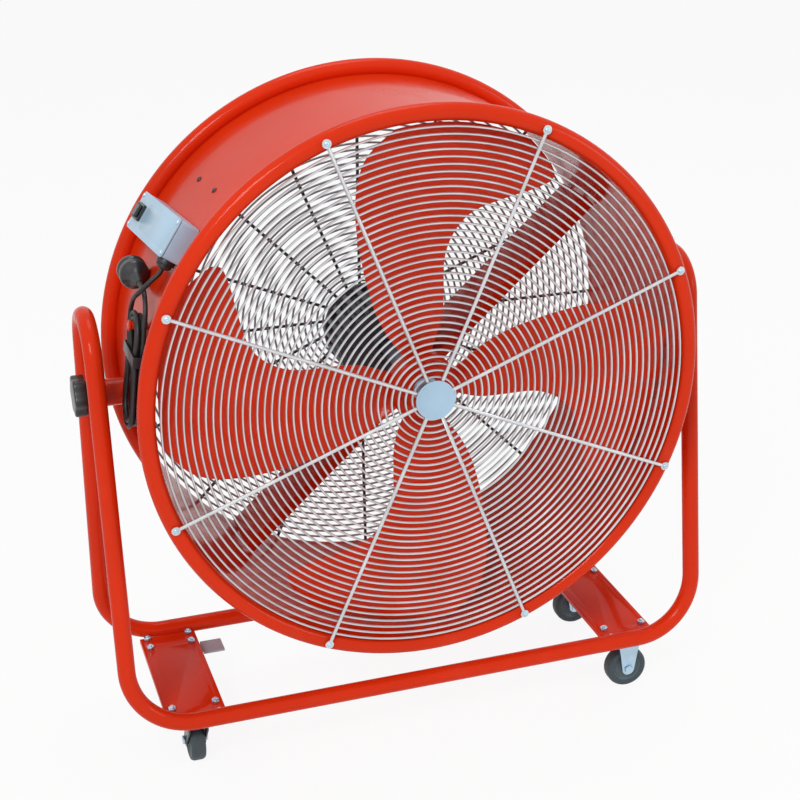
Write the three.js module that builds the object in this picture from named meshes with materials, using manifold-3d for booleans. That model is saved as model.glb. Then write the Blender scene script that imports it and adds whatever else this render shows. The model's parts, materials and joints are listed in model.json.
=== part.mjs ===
// A large drum fan on a castored tube frame.
// Millimetres, +Z up, X to the right as seen from the front, the air leaves towards -Y.
// The origin is on the floor under the middle of the fan.
import * as THREE from 'three';
import { mergeVertices } from 'three/addons/utils/BufferGeometryUtils.js';
import Module from 'manifold-3d';

// ---------------------------------------------------------------- driving dimensions

const GAP = 0.3;                    // gap between pieces that touch
const RUN = 0.5;                    // running clearance round a turning pin

// drum
const AXIS_HEIGHT = 562;            // drum axis above the floor
const DRUM_RADIUS = 400;            // over the rolled rims
const RIM_RADIUS = 12;              // radius of a rolled rim's section
const RIM_SPACING = 310;            // from rim centre to rim centre
const WALL = 3;
const DRUM_SEGMENTS = 64;

// wire grilles
const RING_COUNT = 3;
const RING_SIDES = 32;
const RING_WIRE = 3.6;              // side of the ring wire's section
const SPOKE_WIRE = 5;
const GRILLE_DOME = 4;              // how far the middle stands out
const GRILLE_EDGE = 29;             // outermost ring to the outside of the drum
const GRILLE_EYE = 31;              // radius of the innermost ring
const FRONT_SPOKES = 8;
const FRONT_SPOKE_ANGLE = 21.2;     // place of the first front spoke
const REAR_SPOKES = 16;
const SPOKE_FOOT = 9;               // how far a spoke reaches over the rim's crest
const GRILLE_SCREWS = 8;
const SCREW_RADIUS = 5;
const SCREW_HEIGHT = 3;
const DISC_RADIUS = 28;
const DISC_THICKNESS = 3;

// impeller
const BLADE_COUNT = 4;
const BLADE_THICKNESS = 3;
const BLADE_FRONT = -132;           // the edge nearest the front grille
const BLADE_BACK = -102;             // the edge nearest the motor
const BLADE_CAMBER = 7;
const BLADE_STEPS = 4;
const TIP_CLEARANCE = 10;           // blade tip to the drum's bore
const HUB_RADIUS = 48;
const SHAFT_RADIUS = 12;
const SHAFT_NUT_RADIUS = 17;
const SHAFT_NUT_LENGTH = 11;

// motor
const MOTOR_FRONT = 34;
const MOTOR_BACK = 146;
const MOTOR_SHIELD = 11;            // length of the front end shield
const MOTOR_COWL = 22;              // length of the rear cowl
const MOTOR_CORE = 61;
const MOTOR_FIN_RADIUS = 69;
const MOTOR_FINS = 20;
const MOTOR_FOOT = 3.4;
const MOTOR_FOOT_WIDTH = 90;
const MOTOR_FOOT_LENGTH = 56;
const SHELF_ANGLE = 42;             // slope of the motor shelf seen from the front
const SHELF_FRONT = 52;
const SHELF_DEPTH = 92;
const SHELF_FLANGE = 16;
const SHELF_PLATE = 3;

// control box on the drum
const BOX_ANGLE = 145.3;            // place round the drum, from +X towards +Z
const BOX_LENGTH = 206;
const BOX_WIDTH = 54;
const BOX_HEIGHT = 27;
const BOX_MIDDLE = 1.5;
const BOX_TILT = 5;                 // its front end stands higher on the drum
const LID_THICKNESS = 3;
const LID_LIP = 1;
const SWITCH_LENGTH = 36;
const SWITCH_WIDTH = 24;
const SWITCH_WALL = 2.7;
const SWITCH_HEIGHT = 4;
const SWITCH_PLACE = 76;            // from the box's middle towards its rear end
const ROCKER_TILT = 8;
const ROCKER_PIVOT = 3;
const ROCKER_HEIGHT = 7.6;
const ROCKER_DISH = 1.8;            // how far the rocker's middle lies under its ends
const ROCKER_CLEARANCE = 0.8;
const GLAND_RADIUS = 13;
const GLAND_LENGTH = 14;
const GLAND_PLACE = 20;             // along the box's lower side, from its front end

// supply cord
const CORD = 6.5;
const HANK_ANGLE = 172;
const HANK_SETBACK = -62;
const HANK_RUN = 15 * CORD;         // length of a straight run
const HANK_LOOPS = 3;               // whole loops, before the last three quarters
const HANK_EYE = 3 * CORD;          // half width of the innermost loop
const HANK_STEP = 7.4;              // how much wider each loop is
const HANK_LAYER = 7.2;             // from layer to layer
const HANK_WAIST = 4.6;             // how far the runs are drawn in
const HANK_WAIST_PLACE = 0.42;      // share of the half run, above the middle
const TIE_WIDTH = 15;
const TIE_THICKNESS = 2;
const TIE_CLEARANCE = 0.6;
const HOOK_RADIUS = 5.9;
const HOOK_HEAD = 7.5;
const HOOK_HEAD_THICKNESS = 3;
const PLUG_ANGLE = 156;
const PLUG_RADIUS = 20.5;
const PLUG_LENGTH = 34;
const PLUG_MIDDLE = 12;
const BOOT_LENGTH = 28;
const BOOT_RADIUS = 9;
const PIN_RADIUS = 2.4;
const PIN_LENGTH = 19;
const PIN_SPACING = 19;

// frame
const TUBE_RADIUS = 12.5;
const FRAME_GAP = 37;               // drum's outside to the tube's centre
const FOOT_SPREAD = 134;            // rail centre to the middle plane
const RAIL_HEIGHT = 98.5;
const ARCH_RISE = 111;              // drum axis to the tube's centre at the arch's top
const ARCH_RADIUS = 58;
const ARCH_FLAT = 2;                // straight stretch beside the weld at the arch's top
const CORNER_RADIUS = 92;
const TUBE_SIDES = 10;
const BRACKET_HEIGHT = 74;
const BRACKET_PLATE = 5;

// tilt pivots
const BOSS_RADIUS = 21;
const WASHER_THICKNESS = 4;
const WASHER_RADIUS = 19;
const STUD_RADIUS = 8;
const STUD_SHARE = 0.59;            // share of its boss that the stud fills
const KNOB_RADIUS = 29;
const KNOB_LOBES = 6;
const KNOB_LOBE_DEPTH = 4;
const KNOB_HUB_RADIUS = 15;
const KNOB_HUB = 5;
const KNOB_HEAD = 18;
const KNOB_BORE = 14;

// castor plates
const PLATE_INSET = 96;             // frame tube's centre to the plate's middle
const PLATE_WIDTH = 86;
const PLATE_THICKNESS = 3;
const PLATE_LIP = 5;

// castors
const CASTOR_HEIGHT = 90;
const WHEEL_RADIUS = 32.5;
const WHEEL_WIDTH = 22;
const WHEEL_CHAMFER = 3;
const WHEEL_SIDES = 24;
const AXLE_RADIUS = 4;
const AXLE_HEAD = 7;
const AXLE_HEAD_THICKNESS = 3.5;
const TRAIL = 24;
const TOP_PLATE_WIDTH = 76;
const TOP_PLATE_DEPTH = 40;
const TOP_PLATE_THICKNESS = 3;
const BOLT_EDGE = 6.2;              // bolt to the edges of the top plate
const BOLT_RADIUS = 3;
const NUT_RADIUS = 5.8;
const NUT_HEIGHT = 5;
const BOLT_END = 2.5;
const FORK_PLATE = 2.5;
const FORK_SIDE_CLEARANCE = 1.2;
const FORK_EYE = 10;                // radius round the axle
const FORK_SHOULDER = 11;           // straight stretch under the fork's head
const FORK_HEAD_HALF = 14;
const FORK_EAR = 6;                 // how far the ear reaches past the pedal's pin
const FORK_HEAD_RADIUS = 21;
const FORK_HEAD_HEIGHT = 8;
const RACE_HEIGHT = 2;
const RACE_RADIUS = 17;
const KINGPIN_RADIUS = 6;
const KINGPIN_HEAD = 3;
const KINGPIN_HEAD_RADIUS = 9.5;
const FIXED_LEG_WIDTH = 34;
const PEDAL_WIDTH = 34;
const PEDAL_THICKNESS = 3;
const PEDAL_REACH = 83;             // from the kingpin to the pedal's toe
const PEDAL_NECK = 50;              // from the kingpin to where the pedal widens
const PEDAL_PIN_RADIUS = 2.5;
const PEDAL_PIN_PLACE = 33;         // from the kingpin
const PEDAL_PIN_HEIGHT = 71;

// ---------------------------------------------------------------- derived sizes

const rimCentre = DRUM_RADIUS - RIM_RADIUS;
const rimPlane = RIM_SPACING / 2;
const wallBore = DRUM_RADIUS - 2 * RIM_RADIUS;
const wallOutside = wallBore + WALL;
const rimFace = rimPlane + RIM_RADIUS;
const bladeTip = wallBore - TIP_CLEARANCE;
const frameHalfWidth = DRUM_RADIUS + FRAME_GAP;
const plateMiddle = frameHalfWidth - PLATE_INSET;
const forkHalfGap = WHEEL_WIDTH / 2 + FORK_SIDE_CLEARANCE;
const topPlateBottom = CASTOR_HEIGHT - TOP_PLATE_THICKNESS;
const forkTop = topPlateBottom - RACE_HEIGHT - GAP;
const forkHeadBottom = forkTop - FORK_HEAD_HEIGHT;
const hankTurns = HANK_LOOPS + 0.75;
const hankReverse = Math.floor(hankTurns / 2) + 0.625;
const hankLoop = (p) => HANK_EYE + HANK_STEP * Math.abs(p - hankReverse);

// ---------------------------------------------------------------- materials

const paint = (color, roughness, metalness) =>
  new THREE.MeshStandardMaterial({ color, roughness, metalness });
const redPaint = paint(0xd8351b, 0.28, 0.1);
const zincWire = paint(0xb9bdc2, 0.35, 0.9);
const darkWire = paint(0x2c3136, 0.5, 0.5);
const motorGrey = paint(0x23272b, 0.55, 0.3);
const brightSteel = paint(0xc6c9cc, 0.3, 0.95);
const palePlate = paint(0xbcd0dd, 0.4, 0.3);
const blackPlastic = paint(0x141518, 0.4, 0.0);
const blackCord = paint(0x101113, 0.55, 0.0);
const tyreGrey = paint(0x3a4046, 0.8, 0.0);
const pedalGrey = paint(0x6d737a, 0.5, 0.2);

// ---------------------------------------------------------------- helpers

const degrees = (angle) => angle * Math.PI / 180;
const v3 = (x, y, z) => new THREE.Vector3(x, y, z);
const v2 = (x, y) => new THREE.Vector2(x, y);
const mix = (a, b, share) => a + (b - a) * share;

const wasm = await Module();
wasm.setup();

function toSolid(geometry) {
  const bare = geometry.clone();
  for (const name of Object.keys(bare.attributes)) {
    if (name !== 'position') bare.deleteAttribute(name);
  }
  const merged = mergeVertices(bare, 1e-4);
  return new wasm.Manifold(new wasm.Mesh({
    numProp: 3,
    vertProperties: new Float32Array(merged.attributes.position.array),
    triVerts: new Uint32Array(merged.index.array),
  }));
}

function toGeometry(solid) {
  const mesh = solid.getMesh();
  const geometry = new THREE.BufferGeometry();
  const positions = new Float32Array(mesh.numVert * 3);
  for (let i = 0; i < mesh.numVert; i += 1) {
    for (let k = 0; k < 3; k += 1) positions[3 * i + k] = mesh.vertProperties[mesh.numProp * i + k];
  }
  geometry.setAttribute('position', new THREE.BufferAttribute(positions, 3));
  geometry.setIndex(new THREE.BufferAttribute(new Uint32Array(mesh.triVerts), 1));
  return geometry;
}

function joined(first, ...others) {
  return toGeometry(others.reduce((sum, next) => sum.add(toSolid(next)), toSolid(first)));
}

function cut(body, ...tools) {
  return toGeometry(tools.reduce((rest, tool) => rest.subtract(toSolid(tool)), toSolid(body)));
}

// a turned solid about the Y axis, from [radius, y] points that run round it with the axis on the left
function turned(points, segments) {
  return new THREE.LatheGeometry(points.map(([radius, y]) => v2(radius, y)), segments);
}

function rod(radius, from, to, segments) {
  return turned([[0, from], [radius, from], [radius, to], [0, to]], segments);
}

// a cutter whose flats clear a round pin of this radius
function bore(radius, from, to, segments) {
  return rod(radius / Math.cos(Math.PI / segments), from, to, segments);
}

function tubeRing(inner, outer, from, to, segments) {
  return turned([[inner, from], [outer, from], [outer, to], [inner, to], [inner, from]], segments);
}

const alongX = (geometry) => geometry.rotateZ(-Math.PI / 2);
const alongZ = (geometry) => geometry.rotateX(Math.PI / 2);

function block(x0, x1, y0, y1, z0, z1) {
  return new THREE.BoxGeometry(x1 - x0, y1 - y0, z1 - z0)
    .translate((x0 + x1) / 2, (y0 + y1) / 2, (z0 + z1) / 2);
}

function outline(points) {
  return new THREE.Shape(points.map(([x, y]) => v2(x, y)));
}

function plate(shape, thickness, curveSegments = 6) {
  return new THREE.ExtrudeGeometry(shape, {
    depth: thickness, bevelEnabled: false, curveSegments,
  });
}

// turns a plate in the XY plane so that its thickness runs along X, or along Y
const acrossX = (geometry) => geometry.rotateX(Math.PI / 2).rotateZ(Math.PI / 2);
const acrossY = (geometry) => geometry.rotateX(-Math.PI / 2);

// a path that has one step at each of its points
class Route extends THREE.Curve {
  constructor(points) {
    super();
    this.points = points;
  }

  getPoint(t, target = new THREE.Vector3()) {
    const last = this.points.length - 1;
    const at = Math.min(Math.max(t, 0), 1) * last;
    const i = Math.min(Math.floor(at), last - 1);
    return target.copy(this.points[i]).lerp(this.points[i + 1], at - i);
  }

  getPointAt(u, target) {
    return this.getPoint(u, target);
  }

  getTangentAt(u, target = new THREE.Vector3()) {
    const last = this.points.length - 1;
    const i = Math.round(u * last);
    const before = this.points[i].clone().sub(this.points[Math.max(i - 1, 0)]).normalize();
    const after = this.points[Math.min(i + 1, last)].clone().sub(this.points[i]).normalize();
    return target.copy(before).add(after).normalize();
  }
}

function regularShape(radius, sides) {
  const corner = (i) => degrees(360 * (i + 0.5) / sides);
  return outline(Array.from({ length: sides }, (_, i) =>
    [radius * Math.cos(corner(i)), radius * Math.sin(corner(i))]));
}

function tube(points, radius, sides) {
  return new THREE.ExtrudeGeometry(regularShape(radius, sides), {
    steps: points.length - 1, bevelEnabled: false, extrudePath: new Route(points),
  });
}

function hexagon(radius, from, to) {
  return rod(radius, from, to, 6);
}

const model = new THREE.Group();

function add(parent, name, geometry, material) {
  const mesh = new THREE.Mesh(geometry, material);
  mesh.name = name;
  parent.add(mesh);
  return mesh;
}

function groupAt(parent, x, y, z) {
  const group = new THREE.Group();
  group.position.set(x, y, z);
  parent.add(group);
  return group;
}

// a frame on the drum's wall: local X runs towards +Y, local Y down the wall, local Z outwards
function groupOnWall(parent, angle) {
  const group = new THREE.Group();
  const around = v3(-Math.sin(degrees(angle)), 0, Math.cos(degrees(angle)));
  const outwards = v3(Math.cos(degrees(angle)), 0, Math.sin(degrees(angle)));
  const axes = new THREE.Matrix4().makeBasis(v3(0, 1, 0), around, outwards);
  group.quaternion.setFromRotationMatrix(axes);
  parent.add(group);
  return group;
}

// ---------------------------------------------------------------- drum

// the front rim from the bore round to where the wall's outside leaves it, then the rear rim back
function shellProfile() {
  const meet = Math.acos((RIM_RADIUS - WALL) / RIM_RADIUS) * 180 / Math.PI;
  const eighths = Array.from({ length: 7 }, (_, i) => 180 + 45 * i);
  const turns = [...eighths, 540 - meet];
  const onRim = (side, angle) => [
    rimCentre + RIM_RADIUS * Math.cos(degrees(angle)),
    side * (rimPlane - RIM_RADIUS * Math.sin(degrees(angle))),
  ];
  const points = [
    ...turns.map((angle) => onRim(-1, angle)),
    ...turns.reverse().map((angle) => onRim(1, angle)),
  ];
  points.push(points[0]);
  return points;
}

const drum = groupAt(model, 0, 0, AXIS_HEIGHT);
add(drum, 'drum_shell', turned(shellProfile(), DRUM_SEGMENTS), redPaint);

// ---------------------------------------------------------------- grilles

const ringOuter = DRUM_RADIUS - GRILLE_EDGE;
const spokePlane = rimFace + GAP + SPOKE_WIRE / 2;
const grilleLift = (radius) => GRILLE_DOME * (1 - (radius / ringOuter) ** 2);

// one ring of triangular wire, its flat side against the spokes
function grilleRing(radius) {
  const front = spokePlane + grilleLift(radius) - SPOKE_WIRE / 2 + 1;
  return turned([
    [radius - RING_WIRE / 2, front], [radius, front - RING_WIRE],
    [radius + RING_WIRE / 2, front], [radius - RING_WIRE / 2, front],
  ], RING_SIDES).rotateY(Math.PI / RING_SIDES);
}

function grilleSpoke(angle) {
  const reach = rimCentre + SPOKE_FOOT;
  const stops = [GRILLE_EYE - RING_WIRE, ringOuter * 0.6, ringOuter, reach];
  const points = stops.map((radius) => v3(
    radius * Math.cos(degrees(angle)),
    spokePlane + Math.max(grilleLift(radius), 0),
    radius * Math.sin(degrees(angle)),
  ));
  return tube(points, SPOKE_WIRE / 2 / Math.cos(degrees(45)), 4);
}

// the head of the screw that holds a spoke's end on the rim
function grilleScrew(angle) {
  const seat = spokePlane + SPOKE_WIRE / 2;
  return rod(SCREW_RADIUS, seat - 1, seat + SCREW_HEIGHT, 6).translate(
    rimCentre * Math.cos(degrees(angle)), 0, rimCentre * Math.sin(degrees(angle)));
}

function grille(spokes, firstAngle) {
  const pitch = (ringOuter - GRILLE_EYE) / (RING_COUNT - 1);
  const rings = Array.from({ length: RING_COUNT }, (_, i) => grilleRing(GRILLE_EYE + i * pitch));
  const rods = Array.from({ length: spokes }, (_, i) => grilleSpoke(firstAngle + 360 * i / spokes));
  const screws = Array.from({ length: GRILLE_SCREWS }, (_, i) =>
    grilleScrew(firstAngle + 360 * i / GRILLE_SCREWS));
  return joined(...rings, ...rods, ...screws);
}

const frontGrille = add(drum, 'front_grille', grille(FRONT_SPOKES, 180 - FRONT_SPOKE_ANGLE), zincWire);
frontGrille.rotation.z = Math.PI;
add(drum, 'rear_grille', grille(REAR_SPOKES, 0), darkWire);

const discSeat = spokePlane + grilleLift(GRILLE_EYE) + SPOKE_WIRE / 2 + GAP;
add(drum, 'front_disc',
  rod(DISC_RADIUS, -discSeat - DISC_THICKNESS, -discSeat, 24), palePlate);
add(drum, 'rear_disc',
  rod(DISC_RADIUS, discSeat, discSeat + DISC_THICKNESS, 24), darkWire);

// ---------------------------------------------------------------- impeller

const hubFront = BLADE_FRONT - 2;
const hubBack = BLADE_BACK + 2;

// share of the tip's radius, angle of the front edge and angle of the back edge,
// from the blade's own direction
const rootArc = [31, -24];
const bladeRoot = (HUB_RADIUS + GAP) / Math.cos(degrees((rootArc[0] - rootArc[1]) / 2 / BLADE_STEPS));
const bladeOutline = [
  [bladeRoot / bladeTip, ...rootArc],
  [0.25, 33, -22],
  [0.36, 31, -16.5],
  [0.47, 27.6, -12.8],
  [0.57, 24.8, -13.5],
  [0.67, 22.3, -18],
  [0.76, 19.9, -26.5],
  [0.85, 17, -33.5],
  [0.93, 13, -35.5],
  [1, 6, -26],
];

function blade(direction) {
  const across = BLADE_STEPS;
  const rows = bladeOutline.length;
  const positions = [];
  for (const side of [-0.5, 0.5]) {
    for (const [reach, front, back] of bladeOutline) {
      const radius = reach * bladeTip;
      for (let c = 0; c <= across; c += 1) {
        const share = c / across;
        const angle = degrees(direction + mix(front, back, share));
        const depth = mix(BLADE_FRONT, BLADE_BACK, share)
          + BLADE_CAMBER * Math.sin(Math.PI * share) + side * BLADE_THICKNESS;
        positions.push(radius * Math.cos(angle), depth, radius * Math.sin(angle));
      }
    }
  }
  const at = (side, row, c) => (side * rows + row) * (across + 1) + c;
  const index = [];
  const quad = (a, b, c, d) => index.push(a, b, c, a, c, d);
  for (let row = 0; row < rows - 1; row += 1) {
    for (let c = 0; c < across; c += 1) {
      quad(at(0, row, c), at(0, row, c + 1), at(0, row + 1, c + 1), at(0, row + 1, c));
      quad(at(1, row, c), at(1, row + 1, c), at(1, row + 1, c + 1), at(1, row, c + 1));
    }
    quad(at(0, row, 0), at(0, row + 1, 0), at(1, row + 1, 0), at(1, row, 0));
    quad(at(0, row, across), at(1, row, across), at(1, row + 1, across), at(0, row + 1, across));
  }
  for (let c = 0; c < across; c += 1) {
    quad(at(0, 0, c), at(1, 0, c), at(1, 0, c + 1), at(0, 0, c + 1));
    quad(at(0, rows - 1, c), at(0, rows - 1, c + 1), at(1, rows - 1, c + 1), at(1, rows - 1, c));
  }
  const geometry = new THREE.BufferGeometry();
  geometry.setAttribute('position', new THREE.Float32BufferAttribute(positions, 3));
  geometry.setIndex(index);
  return geometry;
}

add(drum, 'impeller_hub',
  tubeRing(SHAFT_RADIUS + GAP, HUB_RADIUS, hubFront, hubBack, 24), redPaint);
for (let i = 0; i < BLADE_COUNT; i += 1) {
  add(drum, `blade_${i + 1}`, blade(360 * i / BLADE_COUNT), redPaint);
}
add(drum, 'motor_shaft',
  rod(SHAFT_RADIUS, hubFront, MOTOR_FRONT + MOTOR_SHIELD - RUN, 16), brightSteel);
add(drum, 'shaft_nut',
  hexagon(SHAFT_NUT_RADIUS, hubFront - GAP - SHAFT_NUT_LENGTH, hubFront - GAP), brightSteel);

// ---------------------------------------------------------------- motor

const shieldBack = MOTOR_FRONT + MOTOR_SHIELD;
const cowlFront = MOTOR_BACK - MOTOR_COWL;
const shelfFace = MOTOR_FIN_RADIUS + GAP + MOTOR_FOOT + GAP;

function finnedBody() {
  const points = [];
  const pitch = 360 / MOTOR_FINS;
  for (let i = 0; i < MOTOR_FINS; i += 1) {
    const middle = i * pitch;
    const corners = [[-0.34, MOTOR_CORE], [-0.18, MOTOR_FIN_RADIUS], [0.18, MOTOR_FIN_RADIUS],
      [0.34, MOTOR_CORE]];
    for (const [share, radius] of corners) {
      const angle = degrees(middle + share * pitch);
      points.push([radius * Math.cos(angle), radius * Math.sin(angle)]);
    }
  }
  const length = cowlFront - shieldBack - 2 * GAP;
  return acrossY(plate(outline(points), length)).translate(0, shieldBack + GAP, 0);
}

add(drum, 'motor_body', finnedBody(), motorGrey);
add(drum, 'motor_front_shield', turned([
  [SHAFT_RADIUS + RUN, MOTOR_FRONT], [MOTOR_CORE * 0.55, MOTOR_FRONT],
  [MOTOR_CORE, MOTOR_FRONT + MOTOR_SHIELD * 0.5], [MOTOR_CORE, shieldBack],
  [SHAFT_RADIUS + RUN, shieldBack], [SHAFT_RADIUS + RUN, MOTOR_FRONT],
], 24), motorGrey);
add(drum, 'motor_cowl', turned([
  [0, cowlFront], [MOTOR_FIN_RADIUS, cowlFront], [MOTOR_FIN_RADIUS, MOTOR_BACK - 8],
  [MOTOR_FIN_RADIUS - 9, MOTOR_BACK], [0, MOTOR_BACK],
], 24), motorGrey);

// the shelf crosses the drum below the motor; its own frame has X along the chord
const shelf = new THREE.Group();
shelf.rotation.y = -degrees(SHELF_ANGLE);
drum.add(shelf);

const shelfUnder = shelfFace + SHELF_PLATE;
const boreFlats = wallBore * Math.cos(Math.PI / DRUM_SEGMENTS);
const shelfHalf = Math.sqrt((boreFlats - GAP) ** 2 - (shelfFace + SHELF_FLANGE) ** 2);

function shelfChannel() {
  const back = SHELF_FRONT + SHELF_DEPTH;
  const section = outline([
    [SHELF_FRONT, -shelfFace], [back, -shelfFace], [back, -shelfFace - SHELF_FLANGE],
    [back - SHELF_PLATE, -shelfFace - SHELF_FLANGE], [back - SHELF_PLATE, -shelfUnder],
    [SHELF_FRONT + SHELF_PLATE, -shelfUnder],
    [SHELF_FRONT + SHELF_PLATE, -shelfFace - SHELF_FLANGE],
    [SHELF_FRONT, -shelfFace - SHELF_FLANGE],
  ].reverse());
  const length = 2 * shelfHalf;
  return acrossX(plate(section, length)).translate(-length / 2, 0, 0);
}

add(shelf, 'motor_shelf', shelfChannel(), redPaint);
const footFront = (shieldBack + cowlFront - MOTOR_FOOT_LENGTH) / 2;
add(shelf, 'motor_foot', block(-MOTOR_FOOT_WIDTH / 2, MOTOR_FOOT_WIDTH / 2,
  footFront, footFront + MOTOR_FOOT_LENGTH,
  -MOTOR_FIN_RADIUS - GAP - MOTOR_FOOT, -MOTOR_FIN_RADIUS - GAP), motorGrey);

// ---------------------------------------------------------------- control box

const boxSide = groupOnWall(drum, BOX_ANGLE);
boxSide.rotateZ(degrees(BOX_TILT));
const boxBase = wallOutside + GAP;
const boxTop = boxBase + BOX_HEIGHT;
const boxFront = BOX_MIDDLE - BOX_LENGTH / 2;
const boxRear = BOX_MIDDLE + BOX_LENGTH / 2;
const lidTop = boxTop + GAP + LID_THICKNESS;

function roundedPlate(x0, x1, y0, y1, radius, z0, z1) {
  const shape = new THREE.Shape();
  shape.moveTo(x0 + radius, y0);
  shape.lineTo(x1 - radius, y0);
  shape.absarc(x1 - radius, y0 + radius, radius, -Math.PI / 2, 0, false);
  shape.absarc(x1 - radius, y1 - radius, radius, 0, Math.PI / 2, false);
  shape.absarc(x0 + radius, y1 - radius, radius, Math.PI / 2, Math.PI, false);
  shape.absarc(x0 + radius, y0 + radius, radius, Math.PI, Math.PI * 1.5, false);
  return plate(shape, z1 - z0, 3).translate(0, 0, z0);
}

add(boxSide, 'control_box', roundedPlate(boxFront, boxRear,
  -BOX_WIDTH / 2, BOX_WIDTH / 2, 5, boxBase, boxTop), palePlate);
add(boxSide, 'control_lid', roundedPlate(boxFront - LID_LIP, boxRear + LID_LIP,
  -BOX_WIDTH / 2 - LID_LIP, BOX_WIDTH / 2 + LID_LIP, 6, boxTop + GAP, lidTop), palePlate);

const switchMiddle = BOX_MIDDLE + SWITCH_PLACE;
const bezelBase = lidTop + GAP;

function switchBezel() {
  const x = SWITCH_LENGTH / 2;
  const y = SWITCH_WIDTH / 2;
  const hole = [x - SWITCH_WALL, y - SWITCH_WALL];
  return cut(
    roundedPlate(-x, x, -y, y, 2.5, 0, SWITCH_HEIGHT),
    block(-hole[0], hole[0], -hole[1], hole[1], -1, SWITCH_HEIGHT + 1),
  ).translate(switchMiddle, 0, bezelBase);
}

function rocker() {
  const x = SWITCH_LENGTH / 2 - SWITCH_WALL - ROCKER_CLEARANCE;
  const width = SWITCH_WIDTH - 2 * SWITCH_WALL - 2 * ROCKER_CLEARANCE;
  const drop = Math.sin(degrees(ROCKER_TILT)) * x;
  const shape = outline([
    [-x, drop + ROCKER_CLEARANCE], [0, ROCKER_CLEARANCE * 0.75], [x, drop + ROCKER_CLEARANCE],
    [x, ROCKER_HEIGHT], [0, ROCKER_HEIGHT - ROCKER_DISH], [-x, ROCKER_HEIGHT],
  ]);
  return plate(shape, width).rotateX(Math.PI / 2).translate(0, width / 2, -ROCKER_PIVOT);
}

add(boxSide, 'switch_bezel', switchBezel(), blackPlastic);
const rockerMesh = add(boxSide, 'switch_rocker', rocker(), blackPlastic);
rockerMesh.position.set(switchMiddle, 0, bezelBase + ROCKER_PIVOT);
rockerMesh.rotation.y = degrees(ROCKER_TILT);

const glandHeight = (boxBase + boxTop) / 2;
const glandEnd = BOX_WIDTH / 2 + GAP + GLAND_LENGTH;
const gland = add(boxSide, 'cord_gland', turned([
  [0, 0], [CORD / 2 + 2, 0], [GLAND_RADIUS - 3, 5], [GLAND_RADIUS - 3, GLAND_LENGTH - 7],
  [GLAND_RADIUS, GLAND_LENGTH - 7], [GLAND_RADIUS, GLAND_LENGTH], [0, GLAND_LENGTH],
], 12), blackPlastic);
gland.geometry.rotateZ(Math.PI);
gland.position.set(boxFront + GLAND_PLACE, glandEnd, glandHeight);

// ---------------------------------------------------------------- supply cord

// a point beside the drum: angle round the axis, distance from it, and place along it
const beside = (angle, radius, y) =>
  v3(radius * Math.cos(degrees(angle)), y, radius * Math.sin(degrees(angle)));

// the hank's frame: u to the front, v up the wall, w outwards
const hankLift = GAP + TIE_THICKNESS + TIE_CLEARANCE + CORD / 2;
const hankMiddle = beside(HANK_ANGLE, wallOutside + hankLift, HANK_SETBACK);
const hankUp = v3(Math.sin(degrees(HANK_ANGLE)), 0, -Math.cos(degrees(HANK_ANGLE)));
const hankOut = v3(Math.cos(degrees(HANK_ANGLE)), 0, Math.sin(degrees(HANK_ANGLE)));
const onHank = (u, v, w) => hankMiddle.clone()
  .add(v3(0, -u, 0)).addScaledVector(hankUp, v).addScaledVector(hankOut, w);

const halfRun = HANK_RUN / 2;
const waistHeight = HANK_WAIST_PLACE * halfRun;

// how far a run is drawn in at height v
function drawnIn(v) {
  const reach = v > waistHeight ? halfRun - waistHeight : halfRun + waistHeight;
  return HANK_WAIST * Math.cos(Math.PI / 2 * (v - waistHeight) / reach) ** 2;
}

// the cord's centre after p turns: a run down at the front, round the foot,
// a run up at the back, round the head
function hankPoint(p) {
  const quarter = Math.floor((p % 1) * 4 + 1e-9);
  const share = (p % 1) * 4 - quarter;
  const width = hankLoop(p);
  const climb = Math.min(Math.max((p - hankReverse) * 4 + 0.5, 0), 1);
  const w = HANK_LAYER * (1 - Math.cos(Math.PI * climb)) / 2;
  if (quarter === 0) {
    const v = mix(halfRun, -halfRun, share);
    return onHank(width - drawnIn(v), v, w);
  }
  if (quarter === 2) {
    const v = mix(-halfRun, halfRun, share);
    return onHank(drawnIn(v) - width, v, w);
  }
  const sign = quarter === 1 ? 1 : -1;
  const turn = Math.PI * share;
  return onHank(sign * width * Math.cos(turn), -sign * (halfRun + width * Math.sin(turn)), w);
}

function hankRoute(stepsPerLoop) {
  const count = Math.round(hankTurns * stepsPerLoop);
  const top = halfRun + CORD;
  const points = [onHank(hankLoop(0), top, 0)];
  for (let i = 0; i < count; i += 1) points.push(hankPoint(hankTurns * i / count));
  points.push(onHank(-hankLoop(hankTurns), halfRun, HANK_LAYER));
  points.push(onHank(-hankLoop(hankTurns), top, HANK_LAYER));
  return points;
}

// the least gap between stretches of the cord that aren't next to each other
function leastGap(points, diameter) {
  const lengths = [0];
  for (let i = 1; i < points.length; i += 1) {
    lengths.push(lengths[i - 1] + points[i].distanceTo(points[i - 1]));
  }
  let least = Infinity;
  for (let i = 0; i < points.length; i += 1) {
    for (let k = i + 1; k < points.length; k += 1) {
      if (lengths[k] - lengths[i] < 2.5 * diameter) continue;
      least = Math.min(least, points[i].distanceTo(points[k]));
    }
  }
  return least - diameter;
}

const hankPoints = hankRoute(24);
console.log(`cord hank: least gap to itself ${leastGap(hankRoute(240), CORD).toFixed(2)} mm`);
add(drum, 'cord_hank', tube(hankPoints, CORD / 2, 6), blackCord);

// smooth steps through points chosen by hand, with straight ends
function cordRoute(points, steps) {
  return new THREE.CatmullRomCurve3(points, false, 'centripetal').getSpacedPoints(steps);
}

const alongHank = (point, distance) => point.clone().addScaledVector(hankUp, distance);
const hankStart = alongHank(hankPoints[0], GAP);
const hankEnd = alongHank(hankPoints[hankPoints.length - 1], GAP);

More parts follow.
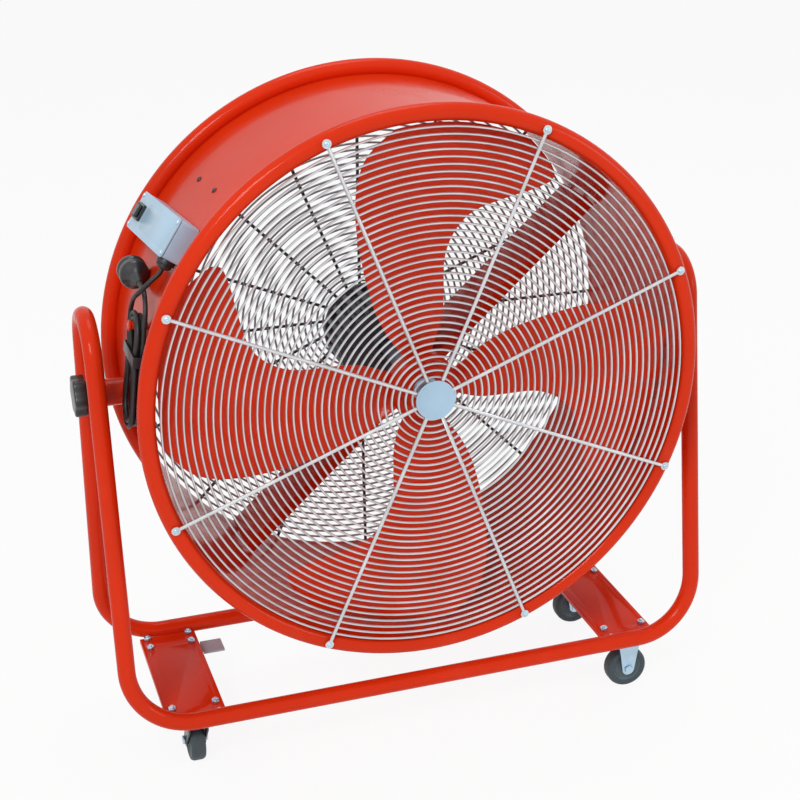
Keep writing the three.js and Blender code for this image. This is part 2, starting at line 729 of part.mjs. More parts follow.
boxSide.updateMatrix();
const glandMouth = gland.position.clone().add(v3(0, GAP, 0)).applyMatrix4(boxSide.matrix);
const glandWay = v3(0, 1, 0).transformDirection(boxSide.matrix);
const leadPoints = [
  glandMouth,
  glandMouth.clone().addScaledVector(glandWay, CORD),
  onHank(22.5, 128, -5),
  onHank(18, 116, 3.5),
  onHank(9, 106.5, 8.2),
  onHank(-3, 99.5, 9),
  onHank(-14, 92.5, 8.6),
  onHank(-24, 84.5, 7.8),
  onHank(-33.2, 73, 7.2),
  alongHank(hankEnd, CORD),
  hankEnd,
];
add(drum, 'cord_lead', tube(cordRoute(leadPoints, 26), CORD / 2, 8), blackCord);

const plugDistance = wallOutside + GAP + PLUG_RADIUS;
const bootEnd = PLUG_MIDDLE - PLUG_LENGTH / 2 - BOOT_LENGTH;
const tailPoints = [
  beside(PLUG_ANGLE, plugDistance, bootEnd - GAP),
  beside(PLUG_ANGLE, plugDistance, bootEnd - GAP - CORD),
  onHank(-1, 110.2, -0.8),
  onHank(11, 107.5, -0.7),
  onHank(21.5, 100, -0.5),
  onHank(29, 89, -0.3),
  onHank(31.5, 76, -0.1),
  alongHank(hankStart, CORD),
  hankStart,
];
add(drum, 'cord_tail', tube(cordRoute(tailPoints, 16), CORD / 2, 8), blackCord);

const plug = new THREE.Group();
plug.position.copy(beside(PLUG_ANGLE, plugDistance, 0));
drum.add(plug);
const plugFace = PLUG_MIDDLE + PLUG_LENGTH / 2;
add(plug, 'plug_body', turned([
  [0, bootEnd], [CORD / 2 + 1.5, bootEnd], [BOOT_RADIUS, bootEnd + BOOT_LENGTH - 6],
  [PLUG_RADIUS - 6, plugFace - PLUG_LENGTH], [PLUG_RADIUS, plugFace - PLUG_LENGTH + 8],
  [PLUG_RADIUS, plugFace], [0, plugFace],
], 20), blackPlastic);
for (const side of [-1, 1]) {
  const pin = rod(PIN_RADIUS, plugFace + GAP, plugFace + GAP + PIN_LENGTH, 8);
  add(plug, side < 0 ? 'plug_pin_1' : 'plug_pin_2',
    pin.translate(0, 0, side * PIN_SPACING / 2), brightSteel);
}

const hankFrame = new THREE.Group();
hankFrame.position.copy(hankMiddle);
hankFrame.quaternion.setFromRotationMatrix(
  new THREE.Matrix4().makeBasis(v3(0, -1, 0), hankOut, hankUp.clone().negate()));
drum.add(hankFrame);

// the band round the hank's waist
function hankTie() {
  const edge = waistHeight + TIE_WIDTH / 2;
  const half = hankLoop(hankTurns) - drawnIn(edge) + CORD / 2 + TIE_CLEARANCE;
  const low = -CORD / 2 - TIE_CLEARANCE;
  const high = HANK_LAYER + CORD / 2 + TIE_CLEARANCE;
  const t = TIE_THICKNESS;
  const band = outline([[-half - t, low - t], [half + t, low - t], [half + t, high + t],
    [-half - t, high + t]]);
  band.holes.push(outline([[-half, low], [-half, high], [half, high], [half, low]]));
  return plate(band, TIE_WIDTH).translate(0, 0, -edge);
}

add(hankFrame, 'hank_tie', hankTie(), blackPlastic);

// the peg under the innermost head bend, standing on the curved wall
const innerBend = hankLoop(hankReverse + 0.25) - CORD / 2;
const hookHeight = halfRun + innerBend - HOOK_RADIUS - GAP;
const wallUnderHook = Math.sqrt(wallOutside ** 2 - (hookHeight - HOOK_RADIUS) ** 2);
const hookBase = wallUnderHook + GAP - (wallOutside + hankLift);
const hookTop = HANK_LAYER + CORD / 2 + TIE_THICKNESS;
add(hankFrame, 'cord_hook', turned([
  [0, hookBase], [HOOK_RADIUS, hookBase], [HOOK_RADIUS, hookTop], [HOOK_HEAD, hookTop],
  [HOOK_HEAD, hookTop + HOOK_HEAD_THICKNESS], [0, hookTop + HOOK_HEAD_THICKNESS],
], 12).translate(0, 0, -hookHeight), redPaint);

// ---------------------------------------------------------------- frame tubes

// the leg is tangent to the side arch and runs to the rail's corner
const archTop = AXIS_HEIGHT + ARCH_RISE;
const archCentre = archTop - ARCH_RADIUS;
const legRun = FOOT_SPREAD - ARCH_FLAT;
const legRise = archCentre - RAIL_HEIGHT;
const legLean = Math.acos(ARCH_RADIUS / Math.hypot(legRun, legRise)) - Math.atan2(legRise, legRun);

// half of the frame: down a leg from the side arch, along the rail and up again
function frameRoute(side) {
  const steps = 6;
  const up = v3(0, -side * Math.sin(legLean), Math.cos(legLean));
  const arch = (x) => [
    v3(x, side * GAP / 2, archTop),
    ...Array.from({ length: steps + 1 }, (_, i) => {
      const angle = mix(Math.PI / 2, legLean, i / steps);
      const y = ARCH_FLAT + ARCH_RADIUS * Math.cos(angle);
      return v3(x, side * y, archCentre + ARCH_RADIUS * Math.sin(angle));
    }),
  ];
  const bend = (x) => Array.from({ length: steps + 1 }, (_, i) => {
    const angle = degrees(90 * i / steps);
    const inwards = v3(-Math.sign(x), 0, 0);
    return v3(x, side * FOOT_SPREAD, RAIL_HEIGHT)
      .addScaledVector(inwards, CORNER_RADIUS * (1 - Math.cos(angle)))
      .addScaledVector(up, CORNER_RADIUS * (1 - Math.sin(angle)));
  });
  return [
    ...arch(-frameHalfWidth), ...bend(-frameHalfWidth),
    ...bend(frameHalfWidth).reverse(), ...arch(frameHalfWidth).reverse(),
  ];
}

add(model, 'frame_front', tube(frameRoute(-1), TUBE_RADIUS, TUBE_SIDES), redPaint);
add(model, 'frame_rear', tube(frameRoute(1), TUBE_RADIUS, TUBE_SIDES), redPaint);

// ---------------------------------------------------------------- tilt pivots

const legInside = (height) => FOOT_SPREAD - (height - RAIL_HEIGHT) * Math.tan(legLean)
  - TUBE_RADIUS / Math.cos(legLean) - GAP;

function pivotBracket() {
  const top = AXIS_HEIGHT + BRACKET_HEIGHT / 2;
  const bottom = AXIS_HEIGHT - BRACKET_HEIGHT / 2;
  const shape = outline([
    [-legInside(bottom), bottom], [legInside(bottom), bottom],
    [legInside(top), top], [-legInside(top), top],
  ]);
  const hole = bore(STUD_RADIUS + RUN, -BRACKET_PLATE, BRACKET_PLATE, 16);
  const body = acrossX(plate(shape, BRACKET_PLATE)).translate(-BRACKET_PLATE / 2, 0, 0);
  return cut(body, alongX(hole).translate(0, 0, AXIS_HEIGHT));
}

function starKnob() {
  const count = KNOB_LOBES * 4;
  const shape = outline(Array.from({ length: count }, (_, i) => {
    const angle = 2 * Math.PI * i / count;
    const radius = KNOB_RADIUS - KNOB_LOBE_DEPTH * (1 - Math.cos(KNOB_LOBES * angle)) / 2;
    return [radius * Math.cos(angle), radius * Math.sin(angle)];
  }));
  const head = acrossY(plate(shape, KNOB_HEAD)).translate(0, KNOB_HUB, 0);
  const hub = rod(KNOB_HUB_RADIUS, 0, KNOB_HUB + 1, 16);
  return cut(joined(head, hub), bore(STUD_RADIUS + GAP, -1, KNOB_BORE, 12));
}

const bracketInside = frameHalfWidth - BRACKET_PLATE / 2;
const bossEnd = bracketInside - GAP - WASHER_THICKNESS - GAP;
const studDepth = STUD_SHARE * (bossEnd - wallOutside);
const knobSeat = frameHalfWidth + BRACKET_PLATE / 2 + GAP;

for (const [side, name] of [[-1, 'left'], [1, 'right']]) {
  const mirror = (geometry) => (side < 0 ? alongX(geometry).rotateZ(Math.PI) : alongX(geometry));
  add(model, `pivot_bracket_${name}`, pivotBracket()
    .translate(side * frameHalfWidth, 0, 0), redPaint);
  add(drum, `pivot_boss_${name}`, mirror(tubeRing(STUD_RADIUS + GAP, BOSS_RADIUS,
    wallOutside + GAP, bossEnd, 20)), redPaint);
  add(drum, `pivot_washer_${name}`, mirror(tubeRing(STUD_RADIUS + GAP, WASHER_RADIUS,
    bossEnd + GAP, bossEnd + GAP + WASHER_THICKNESS, 20)), blackPlastic);
  add(drum, `tilt_stud_${name}`, mirror(rod(STUD_RADIUS, bossEnd - studDepth,
    knobSeat + KNOB_BORE - GAP, 12)), brightSteel);
  add(drum, `tilt_knob_${name}`, mirror(starKnob().translate(0, knobSeat, 0)), blackPlastic);
}

// ---------------------------------------------------------------- castor plates

const plateBottom = CASTOR_HEIGHT + GAP;
const plateTop = plateBottom + PLATE_THICKNESS;
const tubeAtPlate = Math.sqrt(TUBE_RADIUS ** 2 - (RAIL_HEIGHT - plateTop) ** 2);
const plateReach = FOOT_SPREAD - tubeAtPlate - GAP;
const castorSpread = plateReach - TOP_PLATE_DEPTH / 2;
const boltSpread = [TOP_PLATE_WIDTH / 2 - BOLT_EDGE, TOP_PLATE_DEPTH / 2 - BOLT_EDGE];

// the four bolts of one castor, from its middle
const boltPlaces = [-1, 1].flatMap((i) => [-1, 1].map((k) =>
  [i * boltSpread[0], k * boltSpread[1], 0]));

function castorPlate() {
  const half = PLATE_WIDTH / 2;
  const web = block(-half, half, -plateReach, plateReach, plateBottom, plateTop);
  const lips = [-1, 1].map((side) => {
    const outer = side * half;
    const inner = side * (half - PLATE_THICKNESS);
    return block(Math.min(outer, inner), Math.max(outer, inner), -plateReach, plateReach,
      plateBottom - PLATE_LIP, plateTop);
  });
  const holes = [-castorSpread, castorSpread].flatMap((y) => boltPlaces.map((place) =>
    alongZ(bore(BOLT_RADIUS + GAP, plateBottom - 1, plateTop + 1, 6))
      .translate(...place).translate(0, y, 0)));
  return cut(joined(web, ...lips), ...holes);
}

for (const [side, name] of [[-1, 'left'], [1, 'right']]) {
  add(model, `castor_plate_${name}`, castorPlate()
    .translate(side * plateMiddle, 0, 0), redPaint);
}

// ---------------------------------------------------------------- castors

// a castor's own frame has the axle along Y and its trail along +X
function mountingPlate() {
  const halfX = TOP_PLATE_WIDTH / 2;
  const halfY = TOP_PLATE_DEPTH / 2;
  const nutFoot = plateTop + GAP;
  const boltTop = nutFoot + NUT_HEIGHT + BOLT_END;
  const fasteners = boltPlaces.flatMap((place) => [
    alongZ(rod(BOLT_RADIUS, topPlateBottom + 1, boltTop, 6)).translate(...place),
    alongZ(hexagon(NUT_RADIUS, nutFoot, nutFoot + NUT_HEIGHT)).translate(...place),
  ]);
  return [block(-halfX, halfX, -halfY, halfY, topPlateBottom, CASTOR_HEIGHT), ...fasteners];
}

function swivelPlate() {
  const pinFoot = forkHeadBottom - GAP;
  return joined(...mountingPlate(),
    alongZ(rod(RACE_RADIUS, topPlateBottom - RACE_HEIGHT, topPlateBottom + 1, 16)),
    alongZ(rod(KINGPIN_RADIUS, pinFoot - KINGPIN_HEAD + 1, topPlateBottom + 1, 12)),
    alongZ(rod(KINGPIN_HEAD_RADIUS, pinFoot - KINGPIN_HEAD, pinFoot, 12)));
}

// a leg seen from the side: from its head down to the eye for the axle
function forkLeg(side, headHalf, headTop, offset, ear) {
  const shape = new THREE.Shape();
  shape.moveTo(-headHalf, headTop);
  shape.lineTo(-headHalf, headTop - FORK_SHOULDER);
  shape.lineTo(offset - FORK_EYE, WHEEL_RADIUS);
  shape.absarc(offset, WHEEL_RADIUS, FORK_EYE, Math.PI, 2 * Math.PI, false);
  shape.lineTo(Math.max(headHalf, ear), headTop - FORK_SHOULDER);
  shape.lineTo(Math.max(headHalf, ear), headTop);
  const hole = new THREE.Path();
  const clear = (AXLE_RADIUS + GAP) / Math.cos(Math.PI / 10);
  hole.absarc(offset, WHEEL_RADIUS, clear, 0, 2 * Math.PI, true);
  shape.holes.push(hole);
  const start = side < 0 ? -forkHalfGap - FORK_PLATE : forkHalfGap;
  return plate(shape, FORK_PLATE, 5).rotateX(Math.PI / 2).translate(0, start + FORK_PLATE, 0);
}

function fork(braked) {
  const head = alongZ(tubeRing(KINGPIN_RADIUS + RUN, FORK_HEAD_RADIUS,
    forkHeadBottom, forkTop, 20));
  const ear = braked ? PEDAL_PIN_PLACE + FORK_EAR : 0;
  const top = forkHeadBottom + 1;
  const legs = [-1, 1].map((side) => forkLeg(side, FORK_HEAD_HALF, top, TRAIL, ear));
  const body = joined(head, ...legs);
  if (!braked) return body;
  const reach = forkHalfGap + FORK_PLATE + 1;
  return cut(body, bore(PEDAL_PIN_RADIUS + GAP, -reach, reach, 8)
    .translate(PEDAL_PIN_PLACE, 0, PEDAL_PIN_HEIGHT));
}

function wheel() {
  const radius = WHEEL_RADIUS / Math.cos(Math.PI / WHEEL_SIDES);
  const half = WHEEL_WIDTH / 2;
  const inner = AXLE_RADIUS + RUN;
  return turned([
    [inner, -half], [radius - WHEEL_CHAMFER, -half], [radius, -half + WHEEL_CHAMFER],
    [radius, half - WHEEL_CHAMFER], [radius - WHEEL_CHAMFER, half], [inner, half],
    [inner, -half],
  ], WHEEL_SIDES).rotateY(Math.PI / WHEEL_SIDES);
}

function pinWithHeads(radius, head, thickness) {
  const reach = forkHalfGap + FORK_PLATE + GAP;
  return turned([
    [0, -reach - thickness], [head, -reach - thickness], [head, -reach], [radius, -reach],
    [radius, reach], [head, reach], [head, reach + thickness], [0, reach + thickness],
  ], 10);
}

// the pedal's own origin is its pin
function pedal() {
  const neck = forkHalfGap - FORK_SIDE_CLEARANCE;
  const start = PEDAL_NECK - PEDAL_PIN_PLACE;
  const toe = PEDAL_REACH - PEDAL_PIN_PLACE;
  const half = PEDAL_THICKNESS / 2;
  const barrel = PEDAL_PIN_RADIUS + PEDAL_THICKNESS;
  const body = joined(
    rod(barrel, -neck, neck, 12),
    block(0, start + half, -neck, neck, -half, half),
    block(start, toe, -PEDAL_WIDTH / 2, PEDAL_WIDTH / 2, -half, half),
  );
  return cut(body, bore(PEDAL_PIN_RADIUS + RUN, -neck - 1, neck + 1, 10));
}

function addWheel(parent, name, offset) {
  const spindle = add(parent, `${name}_axle`,
    pinWithHeads(AXLE_RADIUS, AXLE_HEAD, AXLE_HEAD_THICKNESS), brightSteel);
  const tyre = add(parent, `${name}_wheel`, wheel(), tyreGrey);
  for (const mesh of [spindle, tyre]) mesh.position.set(offset, 0, WHEEL_RADIUS);
}

function swivelCastor(name, x, y, turn, braked) {
  const place = groupAt(model, x, y, 0);
  add(place, `${name}_plate`, swivelPlate(), brightSteel);
  const swivel = groupAt(place, 0, 0, 0);
  swivel.rotation.z = degrees(turn);
  add(swivel, `${name}_fork`, fork(braked), blackPlastic);
  addWheel(swivel, name, TRAIL);
  if (!braked) return;
  const lever = groupAt(swivel, PEDAL_PIN_PLACE, 0, PEDAL_PIN_HEIGHT);
  add(lever, `${name}_pedal`, pedal(), pedalGrey);
  add(lever, `${name}_pedal_pin`,
    pinWithHeads(PEDAL_PIN_RADIUS, PEDAL_PIN_RADIUS + 2, 2), brightSteel);
}

function fixedCastor(name, x, y) {
  const place = groupAt(model, x, y, 0);
  const legs = [-1, 1].map((side) =>
    forkLeg(side, FIXED_LEG_WIDTH / 2, topPlateBottom + 1, 0, 0));
  add(place, `${name}_bracket`, joined(...mountingPlate(), ...legs), brightSteel);
  addWheel(place, name, 0);
}

swivelCastor('castor_front_left', -plateMiddle, -castorSpread, 90, false);
swivelCastor('castor_rear_left', -plateMiddle, castorSpread, 0, true);
fixedCastor('castor_front_right', plateMiddle, -castorSpread);
fixedCastor('castor_rear_right', plateMiddle, castorSpread);

export default model;
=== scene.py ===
"""A drum fan in a castored tube frame: the finished look around its solid model.

Metres, +Z up, X to the right as seen from the front, the air leaves towards -Y.
"""

import json
import math

import bmesh
import bpy
from bpy.props import FloatProperty, FloatVectorProperty, IntProperty, PointerProperty
from mathutils import Matrix, Vector


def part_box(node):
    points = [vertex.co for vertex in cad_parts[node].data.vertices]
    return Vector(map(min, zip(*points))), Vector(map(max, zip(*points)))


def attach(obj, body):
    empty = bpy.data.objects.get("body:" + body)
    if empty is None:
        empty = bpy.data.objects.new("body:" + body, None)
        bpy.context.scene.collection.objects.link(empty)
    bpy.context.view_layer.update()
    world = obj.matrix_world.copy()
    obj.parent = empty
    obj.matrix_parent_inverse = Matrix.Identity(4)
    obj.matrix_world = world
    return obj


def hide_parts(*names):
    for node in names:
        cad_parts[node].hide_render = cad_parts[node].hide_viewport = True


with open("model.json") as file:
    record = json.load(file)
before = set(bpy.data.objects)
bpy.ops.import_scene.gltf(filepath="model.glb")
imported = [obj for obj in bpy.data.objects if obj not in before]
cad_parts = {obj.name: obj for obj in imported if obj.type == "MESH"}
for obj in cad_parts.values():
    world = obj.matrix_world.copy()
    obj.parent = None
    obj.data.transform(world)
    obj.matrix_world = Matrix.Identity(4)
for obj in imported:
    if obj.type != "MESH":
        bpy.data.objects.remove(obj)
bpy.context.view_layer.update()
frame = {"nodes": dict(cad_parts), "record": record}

bl_info = {
    "name": "Drum Fan",
    "version": (1, 0, 0),
    "blender": (4, 5, 0),
    "location": "View3D > Sidebar > Drum Fan",
    "description": "Builds a drum fan on castors, piece by piece",
    "category": "Add Mesh",
}

MM = 0.001
TURN = 2 * math.pi
HAIR = 1e-5                          # closer than this, two corners are one

# ------------------------------------------------------------------ sizes from the frame

shell_low, shell_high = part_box("drum_shell")
AXIS_HEIGHT = (shell_low.z + shell_high.z) / 2
DRUM_RADIUS = (shell_high.z - shell_low.z) / 2
RIM_FACE = shell_high.y
DRUM_CENTRE = Vector((0, 0, AXIS_HEIGHT))
BODY_OF = {
    node: body
    for body, nodes in frame["record"]["behaviour"]["bodies"].items()
    for node in nodes
}


def size(name, text, default, **more):
    """A length that a user may change."""
    return FloatProperty(name=name, description=text, default=default, unit="LENGTH", **more)


def colour(name, text, default):
    return FloatVectorProperty(
        name=name, description=text, default=default, subtype="COLOR", size=3, min=0, max=1)


class DrumFanSizes(bpy.types.PropertyGroup):
    """Lengths of the pieces that the frame doesn't give."""

    rim_radius: size("Rim radius", "Radius of the rolled rim's section", 12 * MM)
    wall: size("Wall", "Thickness of the drum's wall", 3 * MM)
    ring_wire: size("Ring wire", "Diameter of the grille's ring wire", 3.4 * MM)
    spoke_wire: size("Spoke wire", "Diameter of the grille's spoke wire", 5 * MM)
    grille_dome: size("Grille dome", "How far the grille's middle stands out", 4 * MM)
    grille_edge: size("Grille edge", "Outermost ring to the drum's outside", 29 * MM)
    grille_eye: size("Grille eye", "Radius of the innermost ring", 31 * MM)
    blade_sheet: size("Blade sheet", "Thickness of the blades", 2.4 * MM)
    frame_tube: size("Frame tube", "Radius of the frame's tube", 12.5 * MM)
    cord: size("Cord", "Diameter of the supply cord", 6.5 * MM)
    ring_count: IntProperty(
        name="Grille rings", description="Rings in each grille", default=36, min=4, max=60)
    rear_spokes: IntProperty(
        name="Rear spokes", description="Spokes in the rear grille", default=16, min=4, max=32)
    front_spokes: IntProperty(
        name="Front spokes", description="Spokes in the front grille", default=8, min=4, max=16)


class DrumFanColours(bpy.types.PropertyGroup):
    """Base colours of the finishes."""

    paint: colour("Paint", "Glossy paint of the drum and frame", (0.74, 0.034, 0.005))
    wire: colour("Wire", "Plated wire of the front grille", (0.68, 0.70, 0.72))
    dark_wire: colour("Dark wire", "Painted wire of the rear grille", (0.045, 0.055, 0.060))
    motor: colour("Motor", "Paint of the motor", (0.030, 0.037, 0.045))
    pale: colour("Pale paint", "Paint of the control box and the centre disc", (0.42, 0.61, 0.77))
    steel: colour("Steel", "Plated steel of fasteners and castor plates", (0.50, 0.67, 0.80))
    black: colour("Black plastic", "Knobs, plug, gland and switch", (0.012, 0.013, 0.015))
    rubber: colour("Cord rubber", "Jacket of the supply cord", (0.010, 0.011, 0.012))
    tyre: colour("Tyre", "Tread of the castor wheels", (0.040, 0.060, 0.070))
    # painted light: the rings' colour is lightened to make up for the shade they sit in inside the
    # drum
    ring_wire: colour("Ring wire", "Painted rings of the rear grille", (0.46, 0.56, 0.60))
    # painted light: the pedal's colour is lightened to make up for the drum's shadow that falls on
    # it
    pedal: colour("Pedal", "The brake pedal", (0.42, 0.48, 0.54))


def sizes():
    return bpy.context.scene.drum_fan_sizes


def colours():
    return bpy.context.scene.drum_fan_colours


# ------------------------------------------------------------------ shader maths

class Socket:
    """A node socket on which values can be worked out with plain operators."""

    def __init__(self, shader, link):
        self.shader = shader
        self.link = link

    def maths(self, operation, *values):
        node = self.shader.make("ShaderNodeMath", operation=operation)
        for place, value in enumerate(values):
            self.shader.feed(node.inputs[place], value)
        return Socket(self.shader, node.outputs[0])

    def __add__(self, other):
        return self.maths("ADD", self, other)

    def __radd__(self, other):
        return self.maths("ADD", other, self)

    def __sub__(self, other):
        return self.maths("SUBTRACT", self, other)

    def __rsub__(self, other):
        return self.maths("SUBTRACT", other, self)

    def __mul__(self, other):
        return self.maths("MULTIPLY", self, other)

    def __rmul__(self, other):
        return self.maths("MULTIPLY", other, self)

    def over(self, low, high):
        """0 below low, 1 above high."""
        node = self.shader.make("ShaderNodeMapRange", clamp=True)
        self.shader.feed(node.inputs["Value"], self)
        node.inputs["From Min"].default_value = low
        node.inputs["From Max"].default_value = high
        return Socket(self.shader, node.outputs["Result"])


class Shader:
    """A material whose finish is built from nodes."""

    def __init__(self, name):
        self.material = bpy.data.materials.new(name)
        self.material.use_nodes = True
        self.tree = self.material.node_tree
        self.surface = self.tree.nodes["Principled BSDF"]

    def make(self, kind, settings=None, **more):
        node = self.tree.nodes.new(kind)
        for key, value in {**(settings or {}), **more}.items():
            setattr(node, key, value)
        return node

    def feed(self, entry, value):
        if isinstance(value, Socket):
            self.tree.links.new(value.link, entry)
        elif isinstance(value, (int, float)) and entry.type == "RGBA":
            entry.default_value = (value, value, value, 1)
        elif entry.type == "RGBA":
            entry.default_value = (*value[:3], 1)
        else:
            entry.default_value = value

    def node(self, kind, settings, output, **entries):
        """Any other node: its settings first, then its sockets, by name with _ for a space."""
        node = self.make(kind, settings)
        for name, value in entries.items():
            self.feed(node.inputs[name.replace("_", " ")], value)
        return Socket(self, node.outputs[output])

    def place(self):
        return self.node("ShaderNodeTexCoord", {}, "Object")

    def noise(self, scale, detail=3.0, stretch=(1, 1, 1), rough=0.5):
        spot = self.node("ShaderNodeMapping", {}, "Vector", Vector=self.place(), Scale=stretch)
        return self.node("ShaderNodeTexNoise", {}, "Fac", Vector=spot, Scale=scale,
                         Detail=detail, Roughness=rough)

    def blend(self, share, first, second):
        node = self.make("ShaderNodeMix", data_type="RGBA")
        self.feed(node.inputs["Factor"], share)
        self.feed(node.inputs[6], first)
        self.feed(node.inputs[7], second)
        return Socket(self, node.outputs[2])

    def bump(self, height, strength, distance):
        return self.node("ShaderNodeBump", {}, "Normal", Height=height, Strength=strength,
                         Distance=distance)

    def finish(self, **entries):
        for name, value in entries.items():
            self.feed(self.surface.inputs[name.replace("_", " ")], value)
        return self.material


def tinted(base, factor):
    return tuple(min(1.0, part * factor) for part in base)


def gloss_paint():
    """Sprayed gloss: faint orange peel, dust in patches and a darker tone in thick places."""
    shader = Shader("gloss_paint")
    base = colours().paint
    cloud = shader.noise(3.2, 4)
    film = shader.noise(21, 3)
    dust = shader.noise(9, 6, rough=0.62).over(0.56, 0.78)
    tone = shader.blend(cloud.over(0.3, 0.7), tinted(base, 0.90), tinted(base, 1.06))
    tone = shader.blend(dust * 0.04, tone, (0.80, 0.40, 0.30))
    peel = shader.noise(420, 2)
    return shader.finish(
        Base_Color=tone,
        Roughness=0.18 + film * 0.10 + dust * 0.10,
        Normal=shader.bump(peel * 0.05 + shader.noise(7, 2), 0.25, 0.008),
        Coat_Weight=0.12,
        Coat_Roughness=0.03,
        Specular_IOR_Level=0.06,
    )


def blade_paint():
    """The same gloss on pressed sheet, a little deeper and smoother."""
    shader = Shader("blade_paint")
    base = tinted(colours().paint, 1.02)
    cloud = shader.noise(5, 4)
    dust = shader.noise(14, 6, rough=0.6).over(0.55, 0.8)
    tone = shader.blend(cloud.over(0.3, 0.7), tinted(base, 0.88), tinted(base, 1.05))
    tone = shader.blend(dust * 0.08, tone, (0.70, 0.36, 0.30))
    return shader.finish(
        Base_Color=tone,
        Roughness=0.28 + cloud * 0.10 + dust * 0.12,
        Normal=shader.bump(shader.noise(60, 3), 0.12, 0.0008),
        Coat_Weight=0.18,
        Coat_Roughness=0.05,
        Specular_IOR_Level=0.12,
    )


def plated(name, base, rough, streak):
    """Zinc plating: bright, with faint drawn streaks and duller spots."""
    shader = Shader(name)
    cloud = shader.noise(26, 5)
    fine = shader.noise(240, 3, stretch=streak)
    spots = shader.noise(80, 5, rough=0.7).over(0.58, 0.8)
    tone = shader.blend(cloud.over(0.3, 0.75), tinted(base, 0.86), tinted(base, 1.10))
    tone = shader.blend(spots * 0.25, tone, tinted(base, 0.62))
    return shader.finish(
        Base_Color=tone,
        Metallic=0.92 - spots * 0.12,
        Roughness=rough + cloud * 0.14 + spots * 0.12,
        Normal=shader.bump(fine, 0.12, 0.0003),
    )


def satin(name, base, rough, grain, metallic=0.0, coat=0.0):
    """Powder coat or moulded plastic: a fine even grain and faint clouding."""
    shader = Shader(name)
    cloud = shader.noise(12, 4)
    scuff = shader.noise(55, 6, rough=0.7).over(0.60, 0.85)
    tone = shader.blend(cloud.over(0.25, 0.75), tinted(base, 0.85), tinted(base, 1.12))
    tone = shader.blend(scuff * 0.18, tone, tuple(min(1, part * 1.3 + 0.02) for part in base))
    return shader.finish(
        Base_Color=tone,
        Metallic=metallic,
        Roughness=rough + cloud * 0.10 + scuff * 0.10,
        Normal=shader.bump(shader.noise(grain, 3), 0.20, 0.0004),
        Coat_Weight=coat,
        Coat_Roughness=0.2,
    )


def rubber(name, base, rough):
    """Rubber: dull, with a dusty bloom that gathers in patches."""
    shader = Shader(name)
    bloom = shader.noise(34, 6, rough=0.65).over(0.45, 0.8)
    tone = shader.blend(bloom * 0.35, base, tuple(part * 1.6 + 0.025 for part in base))
    return shader.finish(
        Base_Color=tone,
        Roughness=rough + bloom * 0.15,
        Normal=shader.bump(shader.noise(700, 3), 0.25, 0.0003),
    )


def finishes():
    """Every finish, by the name that the pieces use."""
    tones = colours()
    return {
        "paint": gloss_paint(),
        "blade": blade_paint(),
        "wire": plated("grille_plating", tones.wire, 0.26, (1, 1, 1)),
        "dark_wire": satin("dark_wire_paint", tones.dark_wire, 0.42, 500, 0.3),
        # the ring wire's colour carries painted light for the shade inside the drum
        "ring_wire": satin("ring_wire_paint", tones.ring_wire, 0.42, 500, 0.3),
        "motor": satin("motor_paint", tones.motor, 0.40, 380, 0.0, 0.15),
        "pale": satin("pale_powder_coat", tones.pale, 0.34, 620, 0.0, 0.25),
        "steel": plated("fastener_plating", tones.steel, 0.28, (1, 1, 6)),
        "black": satin("black_moulding", tones.black, 0.34, 800, 0.0, 0.2),
        "fork": satin("black_fork_paint", tones.black, 0.36, 420, 0.0, 0.3),
        "rubber": rubber("cord_jacket", tones.rubber, 0.46),
        "tyre": rubber("tyre_tread", tones.tyre, 0.55),
        "core": satin("wheel_core", tinted(tones.tyre, 1.8), 0.42, 500),
        # the pedal's colour carries painted light for the drum's shadow on it
        "pedal": satin("pedal_moulding", tones.pedal, 0.42, 500),
    }


made = {}


def finish_named(name):
    """The finish of that name; all of them are made when the first is asked for."""
    if not made:
        made.update(finishes())
    return made[name]


# ------------------------------------------------------------------ mesh helpers

def new_object(name, mesh):
    obj = bpy.data.objects.new(name, mesh)
    bpy.context.scene.collection.objects.link(obj)
    return obj


def piece(name, bm, finish, body, *nodes, soft_angle=32):
    """Makes a bmesh a piece that rides on a body and stands for these nodes of the frame."""
    mesh = bpy.data.meshes.new(name)
    bm.to_mesh(mesh)
    bm.free()
    mesh.shade_smooth()
    mesh.set_sharp_from_angle(angle=math.radians(soft_angle))
    mesh.materials.append(finish_named(finish))
    obj = new_object(name, mesh)
    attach(obj, body)
    if nodes:
        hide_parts(*nodes)
    return obj


def spun(profile, steps, closed=False):
    """A turned shape about the Y axis, from (radius, y) corners."""
    bm = bmesh.new()
    corners = [bm.verts.new((radius, y, 0)) for radius, y in profile]
    pairs = list(zip(corners, corners[1:]))
    if closed:
        pairs.append((corners[-1], corners[0]))
    lines = [bm.edges.new(pair) for pair in pairs]
    bmesh.ops.spin(bm, geom=corners + lines, cent=(0, 0, 0), axis=(0, 1, 0), angle=TURN,
                   steps=steps, use_merge=True)
    bmesh.ops.remove_doubles(bm, verts=bm.verts, dist=HAIR)
    bmesh.ops.recalc_face_normals(bm, faces=bm.faces)
    return bm


def rounded(corners, radius, steps=3, closed=False):
    """The same outline with each inner corner taken round by an arc."""
    points = [Vector(corner) for corner in corners]
    count = len(points)
    result = []
    for i, corner in enumerate(points):
        if not closed and i in (0, count - 1):
            result.append(tuple(corner))
            continue
        before = points[i - 1] - corner
        after = points[(i + 1) % count] - corner
        reach = min(radius, before.length * 0.45, after.length * 0.45)
        start = corner + before.normalized() * reach
        end = corner + after.normalized() * reach
        for k in range(steps + 1):
            share = k / steps
            inner = start.lerp(corner, share).lerp(corner.lerp(end, share), share)
            result.append(tuple(inner))
    return result


